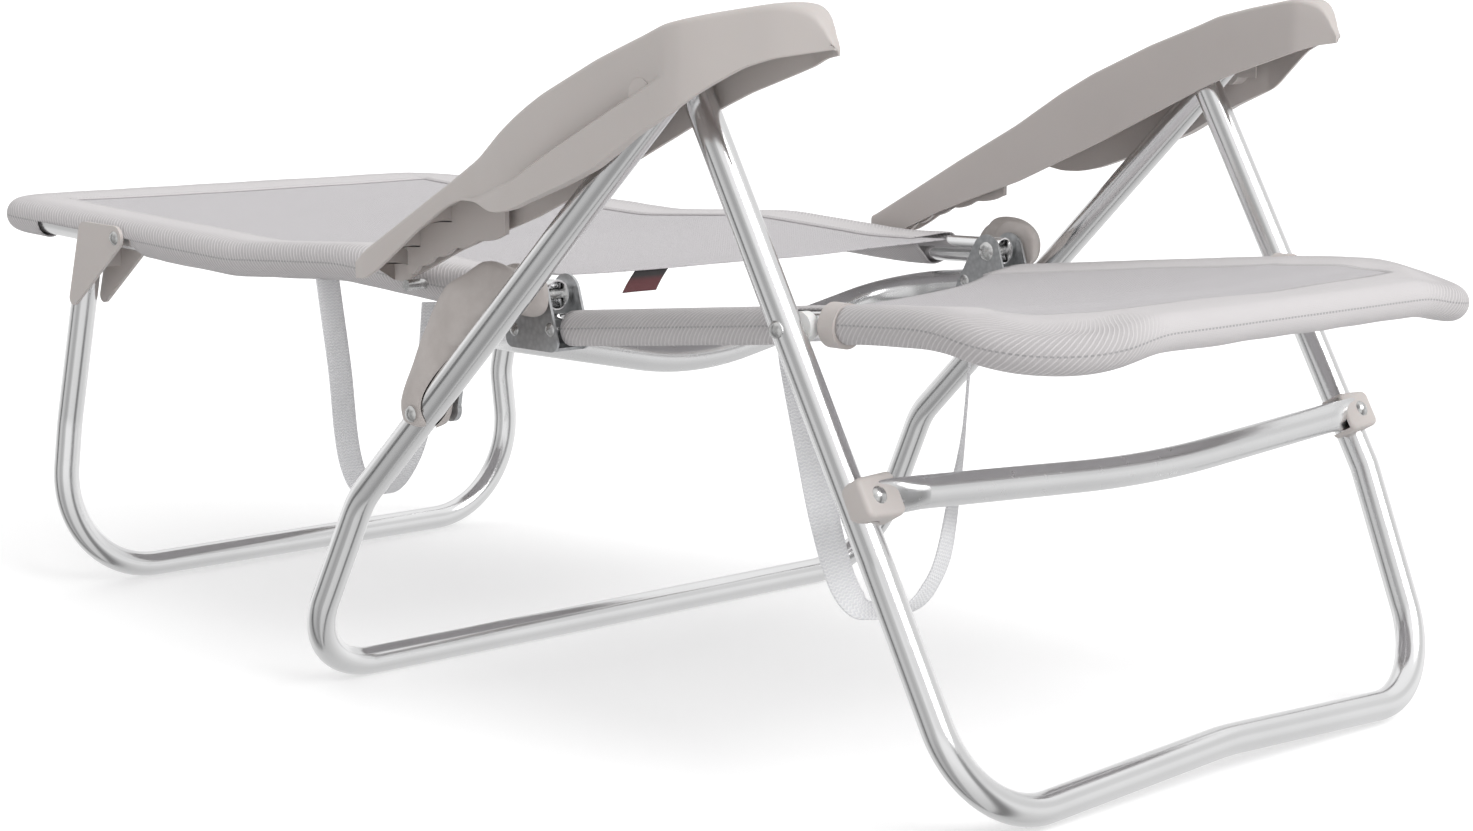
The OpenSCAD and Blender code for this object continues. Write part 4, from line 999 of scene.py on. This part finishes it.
def spline(values, u):
    """Catmull-Rom value at u (in steps) through a list of Vectors."""
    i = min(int(u), len(values) - 2)
    k = u - i
    p0, p1, p2, p3 = values[max(i - 1, 0)], values[i], values[i + 1], values[min(i + 2, len(values) - 1)]
    return 0.5 * ((2 * p1) + (p2 - p0) * k + (2 * p0 - 5 * p1 + 4 * p2 - p3) * k * k
                  + (3 * p1 - p0 - 3 * p2 + p3) * k ** 3)


def sheath(side):
    name = "left" if side < 0 else "right"
    cols = [[Vector(r[k]) for r in SHEATH] for k in range(3)]
    steps, sides = 96, 72
    rows, uvr, run = [], [], 0.0
    for i in range(steps + 1):
        u = (len(SHEATH) - 1) * i / steps
        c, a, b = (spline(col, u) for col in cols)
        if i:
            run += (c - last).length
        last = c
        row, uvs = [], []
        for k in range(sides):
            t = 2 * math.pi * k / sides
            ct, st = math.cos(t), math.sin(t)
            ex = 0.82
            q = c + a * math.copysign(abs(ct) ** ex, ct) + b * math.copysign(abs(st) ** ex, st)
            out = (q - c).normalized()
            fold = math.exp(-((u - 2.6) / 1.3) ** 2)
            f = math.sin(u * 5.2 + 1.1 * math.sin(t + side) + 0.6 * side) * fold * (0.6 + 0.4 * st) * 2.4
            pucker = math.exp(-((u - 4.4) / 1.0) ** 2) * max(0.0, -ct) * math.sin(u * 11.0) * 1.1
            f += pucker + 1.1 * noise.noise(q / 21.0 + Vector((side * 7.0, 0, 0)))
            f *= 1.0 - 0.75 * math.exp(-((u - 7.4) / 0.9) ** 2)
            q = q + out * f
            row.append(Vector((side * max(q.x, 263.2), q.y, q.z)))
            uvs.append((k / sides, run / 1000.0))
        uvs.append((1.0, run / 1000.0))
        rows.append(row)
        uvr.append(uvs)
    o = grid_mesh("link_sheath_skin_" + name, rows, uvr, "vinyl", wrap=True)
    thick(o, 1.5, offset=1.0 if side < 0 else -1.0)
    # slit where the rear leg goes through
    leg = resample(rear_path, 8.0)
    leg = [q for q in leg if q.x > 0 and 150 < q.z < 400]
    cutter = sweep("cutter", [Vector((side * q.x, q.y, q.z)) for q in leg], R + 0.7, "vinyl",
                   shape=lambda i, r: (1.0, 1.0))
    m = o.modifiers.new("slit", "BOOLEAN")
    m.operation, m.object, m.solver = "DIFFERENCE", cutter, "EXACT"
    apply_all(o)
    bpy.data.objects.remove(cutter, do_unlink=True)
    sharp_by_angle(o, 50)
    put(o, "link_" + name, "beige_vinyl", "link_sheath_" + name)
    return o


sheath(-1)
sheath(1)

# ---------------------------------------------------------------- moulded collars over the brace's ends
def collar(side):
    """Rounded cap in the brace seat's own frame: x across, -y out of the tube's front, z up the tube."""
    name = "left" if side < 0 else "right"
    lean = math.atan2(-164.0, 293.0)

    def at(x, y, z):
        return Vector((side * (269 + x), -470.4 + y * math.cos(lean) - z * math.sin(lean),
                       208 + y * math.sin(lean) + z * math.cos(lean)))

    def ring(y, inset, n=8):
        pts = []
        for cx, cz, a0 in ((9.0, 8.5, 0), (-14.0, 9.5, 90), (-14.0, -9.5, 180), (9.0, -8.5, 270)):
            for k in range(n + 1):
                a = math.radians(a0 + 90.0 * k / n)
                pts.append(at(cx + (6.0 - inset) * math.cos(a), y, cz + (5.5 - inset) * math.sin(a)))
        return pts

    depths = ((0.0, 0.8), (-0.8, 0.0), (-17.2, 0.0), (-18.8, 0.5), (-19.9, 1.7), (-20.35, 3.4))
    rings = [ring(y, inset) for y, inset in depths]
    n = len(rings[0])
    faces = [(i * n + k, i * n + (k + 1) % n, (i + 1) * n + (k + 1) % n, (i + 1) * n + k)
             for i in range(len(rings) - 1) for k in range(n)]
    faces += [tuple(reversed(range(n))), tuple(range((len(rings) - 1) * n, len(rings) * n))]
    if side < 0:
        faces = [tuple(reversed(f)) for f in faces]
    o = build_mesh("brace_collar_" + name, [q for r in rings for q in r], faces, mat="beige")
    leg = [q for q in resample(front_path, 8.0) if q.x > 0 and 150 < q.z < 270]
    tube = sweep("tube_cutter", [Vector((side * q.x, q.y, q.z)) for q in leg], R + 0.3, "beige",
                 shape=lambda i, r: (1.0, 1.0))
    half = 12.3    # half the tab's height, with its clearance
    corners = ((-30, -half), (half, -half), (half, half), (-30, half))
    box = [at(x, y, z) for y in (-17.4, 3.0) for x, z in corners]
    sides = [(0, 1, 2, 3), (7, 6, 5, 4)] + [(k, k + 4, (k + 1) % 4 + 4, (k + 1) % 4) for k in range(4)]
    if side < 0:
        sides = [tuple(reversed(f)) for f in sides]
    slot = build_mesh("slot_cutter", box, sides, mat="beige")
    for cutter in (tube, slot):
        m = o.modifiers.new("cut", "BOOLEAN")
        m.operation, m.object, m.solver = "DIFFERENCE", cutter, "EXACT"
        apply_all(o)
        bpy.data.objects.remove(cutter, do_unlink=True)
    sharp_by_angle(o, 35)
    put(o, "front_leg", "beige_plastic", "brace_collar_" + name)


collar(-1)
collar(1)

# ---------------------------------------------------------------- sewn tag, left plain
tag_rows, tag_uv = [], []
for i in range(13):
    v = i / 12.0
    row, uvs = [], []
    for j in range(17):
        u = j / 16.0
        bend = 1.6 * math.sin(v * 2.2) + 0.5 * math.sin(u * 5.0) * v
        row.append(Vector((-127 + 34 * u - 9.0 * v, -104.5 + 3.0 * v + bend, 320.5 - 16.5 * v)))
        uvs.append((u * 0.034, v * 0.017))
    tag_rows.append(row)
    tag_uv.append(uvs)
tag = grid_mesh("plain_tag", tag_rows, tag_uv, "tag")
thick(tag, 0.5)
put(tag, "backrest", "tag_fabric", "sewn_tag")

# ---------------------------------------------------------------- CAD pieces that stay, with their finishes
FINISH = {
    "steel": ["hinge_bracket_left", "hinge_bracket_right", "link_left", "link_right"],
    "rivet": ["hinge_pins", "seat_tube_rivets", "stretcher_rivets", "leg_pivot_rivets", "rack_pins",
              "head_leg_rivets", "brace_rivets", "arm_pivot_rivets", "link_rivets"],
    "beige": ["seat_sleeve_collars", "head_leg_bracket_left", "head_leg_bracket_right"],
    "nylon": ["leg_pivot_spacers"],
}
for mat, names in FINISH.items():
    for n in names:
        me = nodes[n].data
        me.materials.clear()
        me.materials.append(M[mat])


# ---------------------------------------------------------------- studio
world = bpy.data.worlds.new("studio")
scene.world = world
world.use_nodes = True
wt = world.node_tree
wt.nodes.clear()
g = Graph(wt)
out = g.node("ShaderNodeOutputWorld")
bg = g.node("ShaderNodeBackground")
wt.links.new(bg.outputs[0], out.inputs[0])
dirn = g.vec("NORMALIZE", g.node("ShaderNodeTexCoord").outputs["Generated"])
fx, fy = math.sin(YAW), math.cos(YAW)
ahead = g.vec("DOT_PRODUCT", dirn, (fx, fy, 0.0))
right = g.vec("DOT_PRODUCT", dirn, (fy, -fx, 0.0))
az = g.math("ARCTAN2", right, g.math("MULTIPLY", ahead, -1.0))
az = g.math("ADD", g.math("DIVIDE", az, 2 * math.pi), 0.5)
_, _, up = g.split(dirn)
ring = g.ramp(az, [
    (0.0, 1.0), (0.16, 1.0), (0.20, 0.62), (0.235, 0.60), (0.25, 0.16), (0.268, 0.14), (0.285, 0.68),
    (0.33, 0.7), (0.37, 0.5), (0.43, 0.60), (0.46, 1.0), (0.55, 1.0), (0.60, 0.95), (0.63, 0.30),
    (0.66, 0.28), (0.70, 0.9), (0.78, 0.9), (0.84, 1.0), (1.0, 1.0)])
over = g.ramp(g.math("ADD", g.math("MULTIPLY", up, 0.5), 0.5), [
    (0.0, 0.60), (0.30, 0.80), (0.42, 0.92), (0.55, 0.95), (0.62, 0.80), (0.74, 0.78), (0.80, 0.92),
    (1.0, 0.94)])
near_top = g.ramp(up, [(0.55, 0.0), (0.75, 1.0)])
tone = g.mix(near_top, ring, (1.0, 1.0, 1.0))
tone = g.mix(1.0, tone, over, "MULTIPLY")
g.put(bg.inputs[0], tone)
bg.inputs[1].default_value = 1.0

sun_data = bpy.data.lights.new("key", "SUN")
sun_data.energy = 1.55
sun_data.angle = math.radians(40)
sun = bpy.data.objects.new("key", sun_data)
scene.collection.objects.link(sun)
sun.rotation_euler = Vector((0.08, -0.78, 0.62)).to_track_quat("Z", "Y").to_euler()

# Pale floor, white to the camera where no shadow lies
floor_mat = bpy.data.materials.new("pale_floor")
floor_mat.use_nodes = True
ft = floor_mat.node_tree
ft.nodes.clear()
g = Graph(ft)
f_out = g.node("ShaderNodeOutputMaterial")
diffuse = g.node("ShaderNodeBsdfDiffuse", {"Color": (0.78, 0.78, 0.78, 1.0)})
path = g.node("ShaderNodeLightPath")
seen = g.math("MAXIMUM", path.outputs["Is Camera Ray"], path.outputs["Is Glossy Ray"])
seen = g.math("MAXIMUM", seen, path.outputs["Is Transmission Ray"])
glow = g.node("ShaderNodeEmission", {"Color": (1.0, 1.0, 1.0, 1.0),
                                     "Strength": g.math("MULTIPLY", seen, 0.4)})
both = g.node("ShaderNodeAddShader")
ft.links.new(diffuse.outputs[0], both.inputs[0])
ft.links.new(glow.outputs[0], both.inputs[1])
ft.links.new(both.outputs[0], f_out.inputs[0])
floor = build_mesh("floor", [(-60000, -60000, 0), (60000, -60000, 0), (60000, 60000, 0), (-60000, 60000, 0)],
                   [(0, 1, 2, 3)], smooth=False)
floor.data.materials.append(floor_mat)
floor.visible_glossy = False
